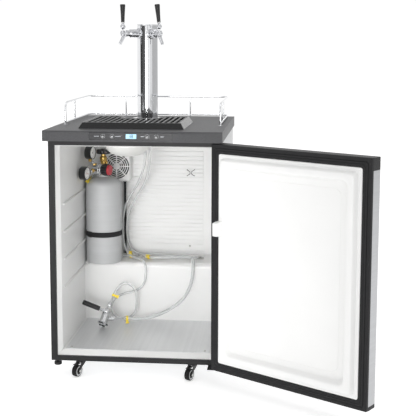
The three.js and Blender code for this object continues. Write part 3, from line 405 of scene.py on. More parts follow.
def screw_head(origin, axis, radius=4):
    """A pan-head cross screw."""
    head = turned([(0, 0), (radius, 0), (radius, 0.8), (radius * 0.6, 2.2), (0, 2.4)], origin, axis, 24)
    slot, groove = (-radius * 0.55, radius * 0.55), (-0.4, 0.4)
    bars = [block(slot, groove, (1.8, 2.55)), block(groove, slot, (1.8, 2.55))]
    cross = [moved(bar, facing(axis, origin)) for bar in bars]
    return merge(head, *cross)


# ---------- hoses ----------
def hose(node, route, diameter, material):
    """A clear tube as a curve along its route, replacing the CAD tube of that name."""
    line = [CABINET @ p for p in smooth_line(route)]
    curve = bpy.data.curves.new(node, "CURVE")
    curve.dimensions = "3D"
    spline = curve.splines.new("POLY")
    spline.points.add(len(line) - 1)
    for point, place in zip(spline.points, line):
        point.co = (*place, 1)
    curve.bevel_depth = diameter / 2 * MM
    curve.bevel_resolution = 5
    curve.use_fill_caps = True
    curve.materials.append(material)
    obj = bpy.data.objects.new(node + "_tube", curve)
    scene.collection.objects.link(obj)
    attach(obj, "cabinet")
    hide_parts(node)


def hose_clamp(name, place, heading, hose_diameter, lean):
    """A yellow spring clamp: a ring round the hose, with two finger tabs that point to lean."""
    inner, outer = hose_diameter / 2 + 0.2, hose_diameter / 2 + 2
    ring = turned([(inner, -4), (outer, -4), (outer, 4), (inner, 4)], sides=32)
    tabs = []
    for side in (-1, 1):
        root = block((outer - 0.8, outer + 11), (side * 2.4 - 0.9, side * 2.4 + 0.9), (-4.5, 4.5))
        pad = block((outer + 9.5, outer + 13), (side * 3.6 - 2.2, side * 3.6 + 2.2), (-6, 6))
        tabs += [root, pad]
    along = Vector(heading).normalized()
    across = (Vector(lean) - Vector(lean).dot(along) * along).normalized()
    turn = Matrix((across, along.cross(across), along)).transposed().to_4x4()
    return piece(name, merge(ring, *tabs), YELLOW, place=CABINET @ Matrix.Translation(place) @ turn,
                 bevel=0.4)


GROMMET_BOTTOM = 782.3
HUMP_TOP = 308
HUMP_BEER = HUMP_TOP + 0.3 + BEER_HOSE / 2
HUMP_GAS = HUMP_TOP + 0.3 + GAS_HOSE / 2
TEE = Vector((-57, 464, HUMP_GAS + 1))
TEE_LEFT = TEE + Vector((-30, 4, 0))
TEE_RIGHT = TEE + Vector((30, -8, 0))
TEE_PLUG = TEE + Vector((3, 24, 0))
GAP = 0.3


def beyond(start, end, distance):
    return Vector(end) + (Vector(end) - Vector(start)).normalized() * distance


def regulator_point(along, side, up):
    across = Vector((-KNOB_AXIS.y, KNOB_AXIS.x, 0))
    return REGULATOR + KNOB_AXIS * along + across * side + UP * up


OUTLET_ROOT = regulator_point(-12, 4, -8)
GAS_OUTLET = Vector((-233, 378, 634))
BARB_ROOT = COUPLER_TIP + COUPLER_AXIS * 34
BEER_LEFT_ROUTE = [
    (-24, 397, GROMMET_BOTTOM - GAP), (-24, 398, 745), (-26, 403, 705), (-36, 412, 661),
    (-60, 430, 603), (-94, 452, 550), (-118, 476, 500), (-128, 490, 445),
    (-129, 494, 395), (-124, 488, 355), (-108, 468, 331), (-84, 446, HUMP_BEER + 5),
    (-58, 424, HUMP_BEER + 4), (-36, 402, HUMP_BEER + 1), (-24, 383, 296),
    (-22, 375, 270), (-26, 371, 240), (-42, 370, 216), (-70, 370, 201),
    (-104, 369, 192), (-136, 366, 176), (-152, 362, 148), (-144, 358, 118),
    (-118, 355, 101), (-84, 354, 104), (-60, 354, 126), (-54, 353, 156),
    (-54, 352, 188), (-60, 350, 214), (-74, 346, 232), (-92, 340, 240.5),
    (-109, 333, 236.5), (-121, 326.5, 223),
    beyond(COUPLER_TIP, COUPLER_TOP, 14), beyond(COUPLER_TIP, COUPLER_TOP, GAP),
]
BEER_RIGHT_ROUTE = [
    (-8, 397, GROMMET_BOTTOM - GAP), (-8, 398, 745), (-10, 404, 700), (-18, 416, 650),
    (-38, 434, 598), (-74, 460, 540), (-104, 486, 480), (-116, 510, 425),
    (-116, 522, 375), (-104, 524, 336), (-78, 518, 317), (-40, 510, HUMP_BEER + 0.5),
    (20, 503, HUMP_BEER + 0.5), (80, 492, HUMP_BEER + 0.5), (130, 478, HUMP_BEER + 1),
    (168, 466, HUMP_BEER + 1.5),
]
BEER_NUT_END = Vector((190, 460, HUMP_BEER + 1.5))
GAS_FEED_ROUTE = [
    beyond(OUTLET_ROOT, GAS_OUTLET, GAP), beyond(OUTLET_ROOT, GAS_OUTLET, 9), (-246.5, 398, 626.5),
    (-250, 412, 624), (-251, 430, 620), (-250, 450, 609), (-245.5, 470, 588),
    (-241, 487, 556), (-234, 498, 505), (-226, 505, 445), (-216, 508, 392),
    (-198, 506, 348), (-172, 499, 324), (-144, 487, HUMP_GAS + 1.5), (-116, 475, HUMP_GAS + 1),
    beyond(TEE, TEE_LEFT, 10), beyond(TEE, TEE_LEFT, GAP),
]
GAS_COUPLER_ROUTE = [
    beyond(TEE, TEE_RIGHT, GAP), beyond(TEE, TEE_RIGHT, 12), (20, 452, HUMP_GAS + 0.5),
    (60, 461, HUMP_GAS + 0.5), (94, 465, HUMP_GAS + 1.5), (124, 456, HUMP_GAS + 4),
    (143, 437, HUMP_GAS + 7), (152, 414, HUMP_GAS + 8), (156, 389, 310), (157, 373, 282),
    (150, 369, 238), (126, 367, 186), (84, 361, 148), (30, 347, 121), (-24, 327, 110),
    (-60, 312, 113), beyond(BARB_ROOT, COUPLER_BARB, 12), beyond(BARB_ROOT, COUPLER_BARB, GAP),
]


nut_axis = BEER_NUT_END - Vector(BEER_RIGHT_ROUTE[-1])
nut_start = Vector(BEER_RIGHT_ROUTE[-1]) + nut_axis.normalized() * GAP
hex_nut = piece(
    "beer_line_hex_nut",
    merge(
        disc(4.2, 0, 4, nut_start, nut_axis, 32),
        turned([(0, 3), (5.4, 3), (5.8, 4), (5.8, 17), (5.4, 18), (0, 18)],
               nut_start, nut_axis, 6),
        turned([(0, 17), (4.4, 17), (4.4, 20), (3.8, 22), (0, 22)], nut_start, nut_axis, 32),
    ),
    NICKEL, stands_for="beer_line_nut", bevel=0.3,
)
coupler_clamp = hose_clamp("clamp_coupler_top", beyond(COUPLER_TIP, COUPLER_TOP, 8), COUPLER_AXIS,
                           BEER_HOSE, (1, 0, -0.3))
barb_clamp = hose_clamp("clamp_coupler_side", beyond(BARB_ROOT, COUPLER_BARB, 8), COUPLER_BARB - BARB_ROOT,
                        GAS_HOSE, (0.3, -0.6, -1))
feed_clamp = hose_clamp("clamp_regulator", beyond(OUTLET_ROOT, GAS_OUTLET, 6), GAS_OUTLET - OUTLET_ROOT,
                        GAS_HOSE, (0.2, -1, -0.3))
tee_left_clamp = hose_clamp("clamp_tee_left", beyond(TEE, TEE_LEFT, 6), TEE_LEFT - TEE, GAS_HOSE,
                            (0, -0.8, 1))
tee_right_clamp = hose_clamp("clamp_tee_right", beyond(TEE, TEE_RIGHT, 6), TEE_RIGHT - TEE, GAS_HOSE,
                             (0, -1, 0.4))
hose("beer_line_left", BEER_LEFT_ROUTE, BEER_HOSE, BEER_TUBE)
hose("beer_line_right", BEER_RIGHT_ROUTE, BEER_HOSE, BEER_TUBE)
hose("gas_line_feed", GAS_FEED_ROUTE, GAS_HOSE, GAS_TUBE)
hose("gas_line_coupler", GAS_COUPLER_ROUTE, GAS_HOSE, GAS_TUBE)

# ---------- cabinet ----------
dress("outer_shell", GREY_PAINT, 1.2)
dress("face_frame", BLACK_PAINT, 1.6)
dress("inner_liner", LINER, 3)
dress("floor_plate", FLOOR_STEEL, 0.8)
dress("rear_grille", DARK_METAL, 0.8)
dress("compressor", DARK_METAL, 2)
dress("hood_top", HOOD, 2)
dress("top_hinge", DARK_METAL, 0.6)
dress("bottom_hinge", DARK_METAL, 0.6)
dress("line_grommet", RUBBER, 1)

LINER_BACK = 552


def back_panel():
    """The raised field on the liner's back wall: a thin plate with fine level grooves."""
    left, right, low, high = -132, 179, 322, 716
    pitch, groove = 16.5, 1.2
    front, deep = LINER_BACK - 3, LINER_BACK - 1.7
    outline = [(low, LINER_BACK + 1), (low + 2, front)]
    count = int((high - low - 20) / pitch)
    for i in range(1, count + 1):
        z = low + 12 + i * pitch
        outline += [(z - 2 * groove, front), (z - groove, deep), (z + groove, deep),
                    (z + 2 * groove, front)]
    outline += [(high - 2, front), (high, LINER_BACK + 1)]
    loops = [[Vector((x, y, z)) for z, y in outline] for x in (left, right)]
    return rings(loops)


piece("liner_back_field", back_panel(), LINER, bevel=0.3)
for i in range(4):
    z = 297 + 96.5 * i
    reach = 395 if i == 0 else 548
    for side in (-1, 1):
        x = side * 253
        ledge = tube([(x, 60, z), (x, 75, z), (x, reach, z)], 2.6, 12)
        piece(f"ledge_lip_{i + 1}_{'left' if side < 0 else 'right'}", ledge, LINER)
CLIP_X, CLIP_Z, CLIP_Y = 130.5, 632.5, LINER_BACK - 3
clip_base = merge(*[
    block((CLIP_X - 15.5, CLIP_X + 15.5), (CLIP_Y - 1.6, CLIP_Y), (CLIP_Z + low, CLIP_Z + low + 6))
    for low in (-15, 9)
])
piece("wall_clip_plates", clip_base, LINER, bevel=0.6)
clip_wires = []
for side in (-1, 1):
    for row in (-1, 1):
        wide, narrow, high = CLIP_X + side * 14.5, CLIP_X + side * 3, CLIP_Z + row * 12
        corners = [(wide, CLIP_Y - 1, high), (wide, CLIP_Y - 12, high),
                   (narrow, CLIP_Y - 10, CLIP_Z + row * 4.5), (narrow, CLIP_Y - 1, CLIP_Z)]
        clip_wires.append(tube(bent(corners, 2), 1.1, 10))
piece("wall_clip_wires", merge(*clip_wires), DARK_METAL)
for name, origin, axis in (
    ("liner_screw", (127, LINER_BACK - 2.9, 340), (0, -1, 0)),
    ("floor_screw_right", (232, 48, 87.3), (0, 0, 1)),
    ("floor_screw_left", (-232, 48, 87.3), (0, 0, 1)),
):
    piece(name, screw_head(origin, axis, 4.2), NICKEL)
foot = merge(
    turned([(0, 36), (11, 36), (13, 38), (13, 46), (11, 48), (0, 48)], (-272, 16, 0)),
    rod((-272, 16, 47), (-272, 16, 55.2), 5),
)
piece("levelling_foot", foot, DARK_METAL, bevel=0.6)
for side in (-1, 1):
    for z in (75, 262):
        piece(f"grille_screw_{'left' if side < 0 else 'right'}_{z}",
              screw_head((side * 236, 587.3, z), (0, 1, 0), 4.5), NICKEL)

# ---------- control panel ----------
PANEL_MIDDLE = 833.5
dress("control_panel", PANEL_BLACK, 0.6)
dress("display_window", GLOW, 0.4)
DISPLAY_FACE = HOOD_FRONT + 0.3
SEGMENTS = {"a": (0, 2), "b": (1, 1), "c": (1, -1), "d": (0, -2), "e": (-1, -1), "f": (-1, 1), "g": (0, 0)}


def digit(lit, centre_x, centre_z, half_width=2.1, half_height=4.6, line=0.55):
    """One seven-segment numeral made of thin bars on the display."""
    bars = []
    for key in lit:
        column, row = SEGMENTS[key]
        x = centre_x + column * half_width
        z = centre_z + row * half_height / 2
        wide = half_width if column == 0 else line
        tall = line if column == 0 else half_height / 2 - line / 2
        bars.append(block((x - wide, x + wide), (DISPLAY_FACE - 0.35, DISPLAY_FACE + 0.3),
                          (z - tall, z + tall)))
    return merge(*bars)


piece("display_digits", merge(digit("abcdg", -5.2, PANEL_MIDDLE), digit("abcdefg", 2.2, PANEL_MIDDLE)), INK)
BUTTONS = {"power_button": -94, "light_button": -63, "temp_up_button": 52, "temp_down_button": 81.5}
BUTTON_FACE = HOOD_FRONT - 0.6
for node, x in BUTTONS.items():
    cap = turned(
        [(0, 4), (5.8, 4), (6, 3.8), (6, 0.6), (5.6, 0.1), (5, 0), (3.2, 0.4), (0, 0.6)],
        (x, BUTTON_FACE, PANEL_MIDDLE), (0, 1, 0), 48,
    )
    piece(node + "_cap", cap, GLOSS_BLACK, node, stands_for=node)
    ring = turned([(6.6, -0.2), (7.3, -0.2), (7.3, 0.4), (6.6, 0.4)], (x, HOOD_FRONT, PANEL_MIDDLE),
                  (0, 1, 0), 48)
    piece(node + "_ring", ring, PRINT)


def icon_bars(x, bars):
    """Small raised marks on a button, as (left, right, low, high) from its middle."""
    made = [
        block((x + l, x + r), (BUTTON_FACE - 0.1, BUTTON_FACE + 0.7),
              (PANEL_MIDDLE + low, PANEL_MIDDLE + high))
        for l, r, low, high in bars
    ]
    return merge(*made)


ICONS = {
    "power_button": [(-0.3, 0.3, 0.4, 3), (-2.2, -1.6, -1.6, 1.2), (1.6, 2.2, -1.6, 1.2),
                     (-1.8, 1.8, -2.2, -1.6)],
    "light_button": [(-1.2, 1.2, -1.2, 1.2), (-0.3, 0.3, 1.7, 3), (-0.3, 0.3, -3, -1.7),
                     (1.7, 3, -0.3, 0.3), (-3, -1.7, -0.3, 0.3)],
    "temp_up_button": [(-2.4, 2.4, -0.3, 0.3), (-0.3, 0.3, -2.4, 2.4)],
    "temp_down_button": [(-2.4, 2.4, -0.3, 0.3)],
}
for node, bars in ICONS.items():
    piece(node + "_icon", icon_bars(BUTTONS[node], bars), LABEL, node)
# Plain bars stand where a panel of this kind has its printed words: (middle, half of the length).
for i, (x, half) in enumerate(((-115, 7.8), (-44, 8.8), (36, 5.8), (100.5, 5.8))):
    bar = block((x - half, x + half), (HOOD_FRONT - 0.2, HOOD_FRONT + 0.6), (832.8, 834.2))
    piece(f"print_bar_{i + 1}", bar, LABEL)

# ---------- guard rail ----------
RAIL_HALF, RAIL_FRONT, RAIL_BACK, RAIL_TOP, RAIL_LOW = 272, 173, 568, 927, 857
RAIL_FOOT = HOOD_TOP + GAP
upper_wire = [
    (-RAIL_HALF, RAIL_FRONT, RAIL_FOOT), (-RAIL_HALF, RAIL_FRONT, RAIL_TOP),
    (-RAIL_HALF, RAIL_BACK, RAIL_TOP),
    (RAIL_HALF, RAIL_BACK, RAIL_TOP), (RAIL_HALF, RAIL_FRONT, RAIL_TOP), (RAIL_HALF, RAIL_FRONT, RAIL_FOOT),
]
lower_wire = [
    (-RAIL_HALF, RAIL_FRONT, RAIL_LOW), (-RAIL_HALF, RAIL_BACK, RAIL_LOW), (RAIL_HALF, RAIL_BACK, RAIL_LOW),
    (RAIL_HALF, RAIL_FRONT, RAIL_LOW),
]
rail_parts = [tube(bent(upper_wire, 34), 3.3, 20), tube(bent(lower_wire, 34), 2.9, 20)]
side_post_y = (RAIL_FRONT + RAIL_BACK) / 2 - 50
for x, y in ((-RAIL_HALF, side_post_y), (RAIL_HALF, side_post_y), (-126, RAIL_BACK), (126, RAIL_BACK)):
    low_end = RAIL_FOOT if y == RAIL_BACK else RAIL_LOW
    rail_parts.append(rod((x, y, low_end), (x, y, RAIL_TOP), 2.4, 16))
    rail_parts.append(turned([(0, 0), (2.9, 0.6), (3.6, 2), (2.9, 3.4), (0, 4)], (x, y, RAIL_LOW - 2),
                             sides=20))
for x, y in ((-RAIL_HALF, RAIL_FRONT), (RAIL_HALF, RAIL_FRONT), (-126, RAIL_BACK), (126, RAIL_BACK)):
    rail_parts.append(turned([(0, 0), (7.5, 0), (7.5, 0.8), (4.5, 1.8), (0, 2.2)], (x, y, RAIL_FOOT),
                             sides=32))
piece("wire_rail", merge(*rail_parts), CHROME, stands_for="guard_rail")

# ---------- drip tray ----------
dress("drip_tray", TRAY_BLACK, 1.8)
TRAY_X, TRAY_HALF, TRAY_FRONT, TRAY_BACK, NOTCH_FRONT = -16, 178, 30, 318, 234
GRATE_INSET, GRATE_LOW, GRATE_HIGH = 17, 865, 869.5


def notch_half(y, inset):
    """Half the notch's width at y, or nothing in front of the notch."""
    front, back = NOTCH_FRONT - inset, TRAY_BACK - inset
    if y <= front:
        return 0
    return 36 + inset + (28 * (y - front) / (back - front))


def tray_outline(inset, z):
    half, front, back, notch = TRAY_HALF - inset, TRAY_FRONT + inset, TRAY_BACK - inset, NOTCH_FRONT - inset
    corners = [(-half, front), (half, front), (half, back), (64 + inset, back), (36 + inset, notch),
               (-36 - inset, notch), (-64 - inset, back), (-half, back)]
    return [Vector((TRAY_X + x, y, z)) for x, y in corners]


BORDER = 7
border = rings(
    [tray_outline(GRATE_INSET, GRATE_LOW), tray_outline(GRATE_INSET, GRATE_HIGH),
     tray_outline(GRATE_INSET + BORDER, GRATE_HIGH), tray_outline(GRATE_INSET + BORDER, GRATE_LOW)],
    ring_closed=True,
)
bars = [border]
BAR_PITCH, BAR_HALF = 18.6, 3.8
bar_span = TRAY_HALF - GRATE_INSET - BORDER
bar_count = int(2 * bar_span / BAR_PITCH)
bar_inset = GRATE_INSET + BORDER / 2
for i in range(bar_count):
    x = (i - (bar_count - 1) / 2) * BAR_PITCH
    end = TRAY_BACK - bar_inset
    while end > NOTCH_FRONT - bar_inset and abs(x) < notch_half(end, bar_inset) + BAR_HALF:
        end -= 2
    sides = (TRAY_X + x - BAR_HALF, TRAY_X + x + BAR_HALF)
    bars.append(block(sides, (TRAY_FRONT + bar_inset, end), (GRATE_LOW + 0.8, GRATE_HIGH - 0.2)))
for y in (105, 165):
    bars.append(block((TRAY_X - bar_span, TRAY_X + bar_span), (y - 2, y + 2),
                      (GRATE_LOW + 0.2, GRATE_HIGH - 1.6)))
piece("slatted_grate", merge(*bars), GRATE_BLACK, "drip_grate", stands_for="drip_grate",
      bevel=0.5)

# ---------- tower ----------
FLANGE_LOW, FLANGE_TOP, TOWER_TOP, COLUMN = HOOD_TOP + GAP, 858, 1203, 38.1
flange = turned(
    [(33, 0), (56, 0), (57, 1), (57, 3.8), (55.5, 5.5), (50, 7), (42.5, 7.7), (33, 7.7)],
    TOWER + UP * FLANGE_LOW, sides=96,
)
piece("tower_flange", flange, CHROME, stands_for="tower_base", bevel=0.3)
for i in range(4):
    angle = math.radians(45 + 90 * i)
    spot = TOWER + Vector((48.5 * math.cos(angle), 48.5 * math.sin(angle), FLANGE_LOW + 6.8))
    piece(f"flange_screw_{i + 1}", screw_head(spot, (0, 0, 1), 3.6), NICKEL)
column_height = TOWER_TOP - 7 - GAP - FLANGE_TOP
column = turned(
    [(36.5, 0), (COLUMN, 0), (COLUMN, column_height), (36.5, column_height)],
    TOWER + UP * (FLANGE_TOP + GAP), sides=128
)
piece("column_tube", column, CHROME, stands_for="tower_column", bevel=0.3)
top_cap = turned(
    [(0, 0), (COLUMN, 0), (COLUMN, 3.4), (37.6, 4.4), (36.6, 5.2), (30, 6), (15, 6.6), (0, 6.8)],
    TOWER + UP * (TOWER_TOP - 7 + GAP), sides=128,
)
piece("column_cap", top_cap, CHROME, stands_for="tower_cap", bevel=0.2)


def tap(side, turn, roll):
    """A shank, its faucet and its lever. In the tap's frame +X points away from the tower."""
    frame_fixed = CABINET @ Matrix.Translation(TOWER + UP * TAP_Z) @ spun(turn - 90, "Z")
    frame_rolled = frame_fixed @ spun(roll, "X")
    along = (1, 0, 0)
    start, end = 38.4, 83
    collar = turned(
        [(0, start - 6), (14.8, start - 6), (15.2, start + 4), (15, 60), (14.6, 68),
         (15, 69.5), (15, 71.5), (12.8, 74.5), (11.2, 76.5), (11.2, end), (0, end)],
        axis=along, sides=72,
    )
    ring = turned([(14.5, 52.5), (15.7, 53.2), (15.7, 54.8), (14.5, 55.5)], axis=along, sides=72)
    escutcheon = turned([(0, 34.5), (20.5, 34.5), (20.5, 37.8), (18.5, 39.8), (16, 41.2), (0, 41.2)],
                        axis=along, sides=72)
    piece(f"tap_shank_{side}", merge(collar, ring, escutcheon), TAP_CHROME, place=frame_fixed,
          stands_for=f"shank_{side}",
          bevel=0.3)
    first, reach = end + GAP, LEVER_REACH
    lugs = []
    for i in range(6):
        spin = spun(60 * i, "X")
        lugs.append(moved(block((first, first + 5), (-1.4, 1.4), (9.8, 11.6)), spin))
    barrel = turned(
        [(0, first), (10.4, first), (10.4, first + 5), (8.8, first + 6.8), (8, first + 8.5),
         (8.4, reach - 4), (8.5, reach + 4), (7, reach + 7.8), (4, reach + 9.2), (0, reach + 9.5)],
        axis=along, sides=64,
    )
    bonnet = turned(
        [(0, -9), (7.2, -9), (8.4, -7.5), (8.5, 5.8), (7.4, 6.8), (7.4, 8),
         (8.3, 8.8), (8, 9.7), (0, 9.7)],
        (reach, 0, 0), sides=64,
    )
    lean = Vector((0.5, 0, -0.87)).normalized()
    root = Vector((first + 9, 0, -2))
    spout_line = [root + lean * d for d in (0, 8, 20, 32, 40.5, 42)]
    spout = tube(spout_line, [7.8, 7.2, 6.3, 5.8, 5.7, 5], 32)
    bore = turned([(3.6, 36), (5.2, 36), (5.7, 41.8), (4.6, 42.2), (3.6, 40.5)], root, lean, 32)
    piece(f"tap_body_{side}", merge(barrel, bonnet, spout, bore, *lugs), TAP_CHROME, place=frame_rolled,
          stands_for=f"faucet_{side}", bevel=0.3)
    lever_frame = frame_rolled @ Matrix.Translation((reach, 0, TAP_PIVOT))
    body = f"tap_lever_{side}"
    knuckle = turned(
        [(0, -2), (1.5, -2), (2.5, -1), (2.5, 2.5), (4.2, 3), (7.8, 5.6), (9.5, 9),
         (9.8, 12), (9, 15.5), (7, 18.3), (5.2, 20.2), (5, 22.2), (5.8, 23.5),
         (6, 27.5), (0, 27.5)],
        sides=64,
    )
    piece(f"lever_knuckle_{side}", knuckle, TAP_CHROME, body, lever_frame)
    grip = turned(
        [(0, 26.8), (6, 26.8), (6.4, 28), (6.6, 34), (7.2, 50), (8.2, 68),
         (9.3, 84), (9.6, 87.5), (9.4, 90), (8.4, 91.6), (5, 92.3), (0, 92.5)],
        sides=64,
    )
    piece(f"lever_grip_{side}", grip, BLACK_PLASTIC, body, lever_frame, stands_for=body)
    collar_ring = turned([(5.8, 26.2), (7.1, 26.8), (7.1, 28.4), (5.8, 29)], sides=48)
    piece(f"lever_ring_{side}", collar_ring, NICKEL, body, lever_frame)


tap("left", LEFT_TURN, 0)
tap("right", RIGHT_TURN, RIGHT_ROLL)

# ---------- lamp and fan ----------
LAMP = Vector((-44, 120, 790 - GAP))
lamp = turned(
    [(0, 0), (77, 0), (76.8, 3), (75, 9), (71.5, 15.5), (65, 23.5), (55.5, 31),
     (42, 37), (26, 40.3), (12, 41.6), (0, 42)],
    LAMP, (0, 0, -1), 96,
)
piece("lamp_dome", lamp, MILKY, stands_for="lamp_cover")
rim = turned([(74.5, 0), (78.8, 0), (78.8, 2.6), (77, 4.2), (74.5, 3)], LAMP, (0, 0, -1), 96)
piece("lamp_rim", rim, LINER)

FAN_CENTRE = Vector((-153, 498, 659.5))
FAN_LEFT, FAN_RIGHT, FAN_LOW, FAN_HIGH = -207, -99, 600, 718
fan_middle_z = (FAN_LOW + FAN_HIGH) / 2
half_wide, half_high = (FAN_RIGHT - FAN_LEFT) / 2, (FAN_HIGH - FAN_LOW) / 2


def fan_loop(inset, y, radius):
    loop = rounded_loop(half_wide - inset, half_high - inset, radius, 8)
    return [Vector((FAN_CENTRE.x + u, y, fan_middle_z + v)) for u, v in loop]


def circle_loop(radius, y):
    """A round loop that starts where rounded_loop does, so the two can be joined."""
    turns = [math.radians(10 * i + 5) for i in range(36)]
    return [Vector((FAN_CENTRE.x + radius * math.cos(t), y,
                    FAN_CENTRE.z + radius * math.sin(t))) for t in turns]


FACE_Y = 498
fan_shell = rings(
    [fan_loop(2, 551.5, 10), fan_loop(0, 549, 12), fan_loop(0, 506, 12), fan_loop(1.2, 501, 12),
     fan_loop(4.5, FACE_Y, 10), circle_loop(50.5, FACE_Y), circle_loop(49, FACE_Y + 1.2),
     circle_loop(49, FACE_Y + 4), fan_loop(6, FACE_Y + 5, 8), fan_loop(4, 549, 8)],
    ring_closed=True,
)
grille = []
RIB_HALF, SPOKE_HALF = 1.5, 1.9
for radius in (19.2, 27, 34.8, 42.6):
    rib = [(radius - RIB_HALF, -0.3), (radius + RIB_HALF, -0.3), (radius + RIB_HALF, 2.2),
           (radius - RIB_HALF, 2.2)]
    grille.append(turned(rib, FAN_CENTRE, (0, 1, 0), 64))
for i in range(8):
    spin = Matrix.Translation(FAN_CENTRE) @ spun(45 * i, "Y")
    grille.append(moved(block((10, 50.5), (0.2, 2.6), (-SPOKE_HALF, SPOKE_HALF)), spin))
hub_cap = turned([(0, -0.8), (10.5, -0.4), (13.5, 1), (13.5, 3), (0, 3)], FAN_CENTRE, (0, 1, 0), 48)
motor = merge(rod((FAN_CENTRE.x, 530, FAN_CENTRE.z), (FAN_CENTRE.x, 551.5, FAN_CENTRE.z), 15.5, 40),
              block((FAN_LEFT + 4, FAN_RIGHT - 4), (547.5, 551.5), (FAN_CENTRE.z - 8, FAN_CENTRE.z + 8)))
piece("fan_housing", merge(fan_shell, *grille, hub_cap, motor), LINER, stands_for="fan_cover",
      bevel=0.4)


shroud = merge(
    turned([(46.6, 5), (48.2, 5), (48.2, 48), (46.6, 48)], FAN_CENTRE, (0, 1, 0), 64),
    disc(48.2, 46, 47.5, FAN_CENTRE, (0, 1, 0), 64),
)
piece("fan_shroud", shroud, BLACK_PLASTIC)


def blade(turn):
    """One cupped fan blade, from hub to tip, twisted along its length."""
    loops = []
    for i in range(9):
        t = i / 8
        reach = 11.5 + 29.5 * t
        pitch = math.radians(52 - 22 * t)
        chord = 16 + 10 * t
        loop = []
        for side in (0.7, -0.7):
            steps = range(7) if side > 0 else range(6, -1, -1)
            for k in steps:
                across = (k / 6 - 0.5) * chord
                cup = 2.2 * (1 - (2 * k / 6 - 1) ** 2) + side
                y = across * math.sin(pitch) + cup * math.cos(pitch)
                loop.append(Vector((reach, y, across * math.cos(pitch) - cup * math.sin(pitch))))
        loops.append(loop)
    spin = Matrix.Translation(FAN_CENTRE + Vector((0, 17.5, 0))) @ spun(turn, "Y")
    return moved(rings(loops), spin)


hub = turned([(0, 9), (9.5, 8.8), (12.5, 10.5), (13, 13), (13, 29.5), (0, 29.5)], FAN_CENTRE, (0, 1, 0), 48)
piece("fan_wheel", merge(hub, *[blade(72 * i) for i in range(5)]), BLACK_PLASTIC, "fan_rotor",
      stands_for="fan_rotor")

CHANNEL_X, CHANNEL_FRONT = -128.5, 542.5
channel_back, channel_ends = LINER_BACK - GAP, (HUMP_TOP + GAP, FAN_LOW - GAP)
channel = merge(
    block((CHANNEL_X - 4, CHANNEL_X - 2.8), (CHANNEL_FRONT, channel_back), channel_ends),
    block((CHANNEL_X + 2.8, CHANNEL_X + 4), (CHANNEL_FRONT, channel_back), channel_ends),
    block((CHANNEL_X - 3.4, CHANNEL_X + 3.4), (CHANNEL_FRONT + 2, LINER_BACK - 2), channel_ends),
    block((CHANNEL_X - 7, CHANNEL_X + 7), (CHANNEL_FRONT - 0.8, channel_back),
          (FAN_LOW - 8, FAN_LOW - GAP)),
)
piece("fan_lead_channel", channel, DARK_METAL, bevel=0.4)

# ---------- gas cylinder ----------
shoulder, neck = 291.7, 331.7
cylinder_profile = [(0, 4), (50, 4), (56, 0.4), (62, 0), (65.5, 2.2), (67, 6.5), (67, shoulder)]
for i in range(1, 13):
    angle = math.radians(90 * i / 12)
    cylinder_profile.append((17 + 50 * math.cos(angle), shoulder + 32 * math.sin(angle)))
cylinder_profile += [(17, neck - 1), (16, neck), (0, neck)]
piece("gas_cylinder", turned(cylinder_profile, CYLINDER, sides=128), ALUMINIUM, stands_for="co2_cylinder")
strap_inner, strap_outer, strap_low, strap_high = 67.3, 69.1, 102.7, 121.7
band = turned([(strap_inner, strap_low), (strap_outer - 0.4, strap_low), (strap_outer, strap_low + 0.6),
               (strap_outer, strap_high - 0.6), (strap_outer - 0.4, strap_high), (strap_inner, strap_high)],
               CYLINDER, sides=128)
piece("strap_band", band, WEBBING, stands_for="cylinder_strap")
buckle_place = CABINET @ Matrix.Translation(CYLINDER) @ spun(-38, "Z")
buckle = merge(*[
    block(xs, (-strap_outer - proud, -strap_outer + 0.8), zs)
    for xs, proud, zs in (
        ((-9, 9), 2.5, (strap_low - 1.5, strap_low + 1.2)),
        ((-9, 9), 2.5, (strap_high - 1.2, strap_high + 1.5)),
        ((-9, -6.2), 2.5, (strap_low - 1.5, strap_high + 1.5)),
        ((6.2, 9), 2.5, (strap_low - 1.5, strap_high + 1.5)),
        ((-1.2, 1.2), 2.2, (strap_low - 1.2, strap_high + 1.2)),
    )
])
piece("strap_buckle", buckle, BLACK_PLASTIC, place=buckle_place, bevel=0.5)

NECK_TOP = Vector((CYLINDER.x, CYLINDER.y, 640))
OUTLET = Vector((CYLINDER.x, CYLINDER.y, REGULATOR.z + 4))
valve = merge(
    turned([(0, -12), (9.5, -12), (9.5, 0.8), (15, 0.8), (15, 11.8), (0, 11.8)], NECK_TOP, sides=6),
    turned([(0, 11), (11.8, 11), (11.2, 16), (11, 54), (0, 54)], NECK_TOP, sides=48),
    turned([(0, 53), (12.8, 53), (13.2, 57.5), (13.2, 66.5), (11.2, 69), (8.8, 70.5), (8.8, 77.8),
            (0, 77.8)],
           NECK_TOP, sides=48),
    turned([(0, 8), (8.5, 8), (8, 19), (0, 19)], OUTLET, (0, -1, 0), 40),
    turned([(0, 18.5), (13.6, 18.5), (14.2, 20), (14.2, 34.5), (13.6, 35.8), (0, 35.8)],
           OUTLET, (0, -1, 0), 6),
    turned([(0, 10), (7.5, 10), (7.5, 15), (6, 16), (0, 16)],
           NECK_TOP + UP * 46, (1, 0, 0), 6),
)
piece("valve_body", valve, BRASS, stands_for="cylinder_valve", bevel=0.4)


def scalloped(radius, depth, lobes, heights, steps=12):
    """A hand knob's side, which dips between its lobes. heights are (share of radius, distance)."""
    loops = []
    count = lobes * steps
    for share, height in heights:
        loop = []
        for k in range(count):
            wave = 0.5 - 0.5 * math.cos(2 * math.pi * k / steps)
            r = (radius - depth * wave**2) * share
            angle = 2 * math.pi * k / count
            loop.append(Vector((r * math.cos(angle), r * math.sin(angle), height)))
        loops.append(loop)
    return rings(loops)


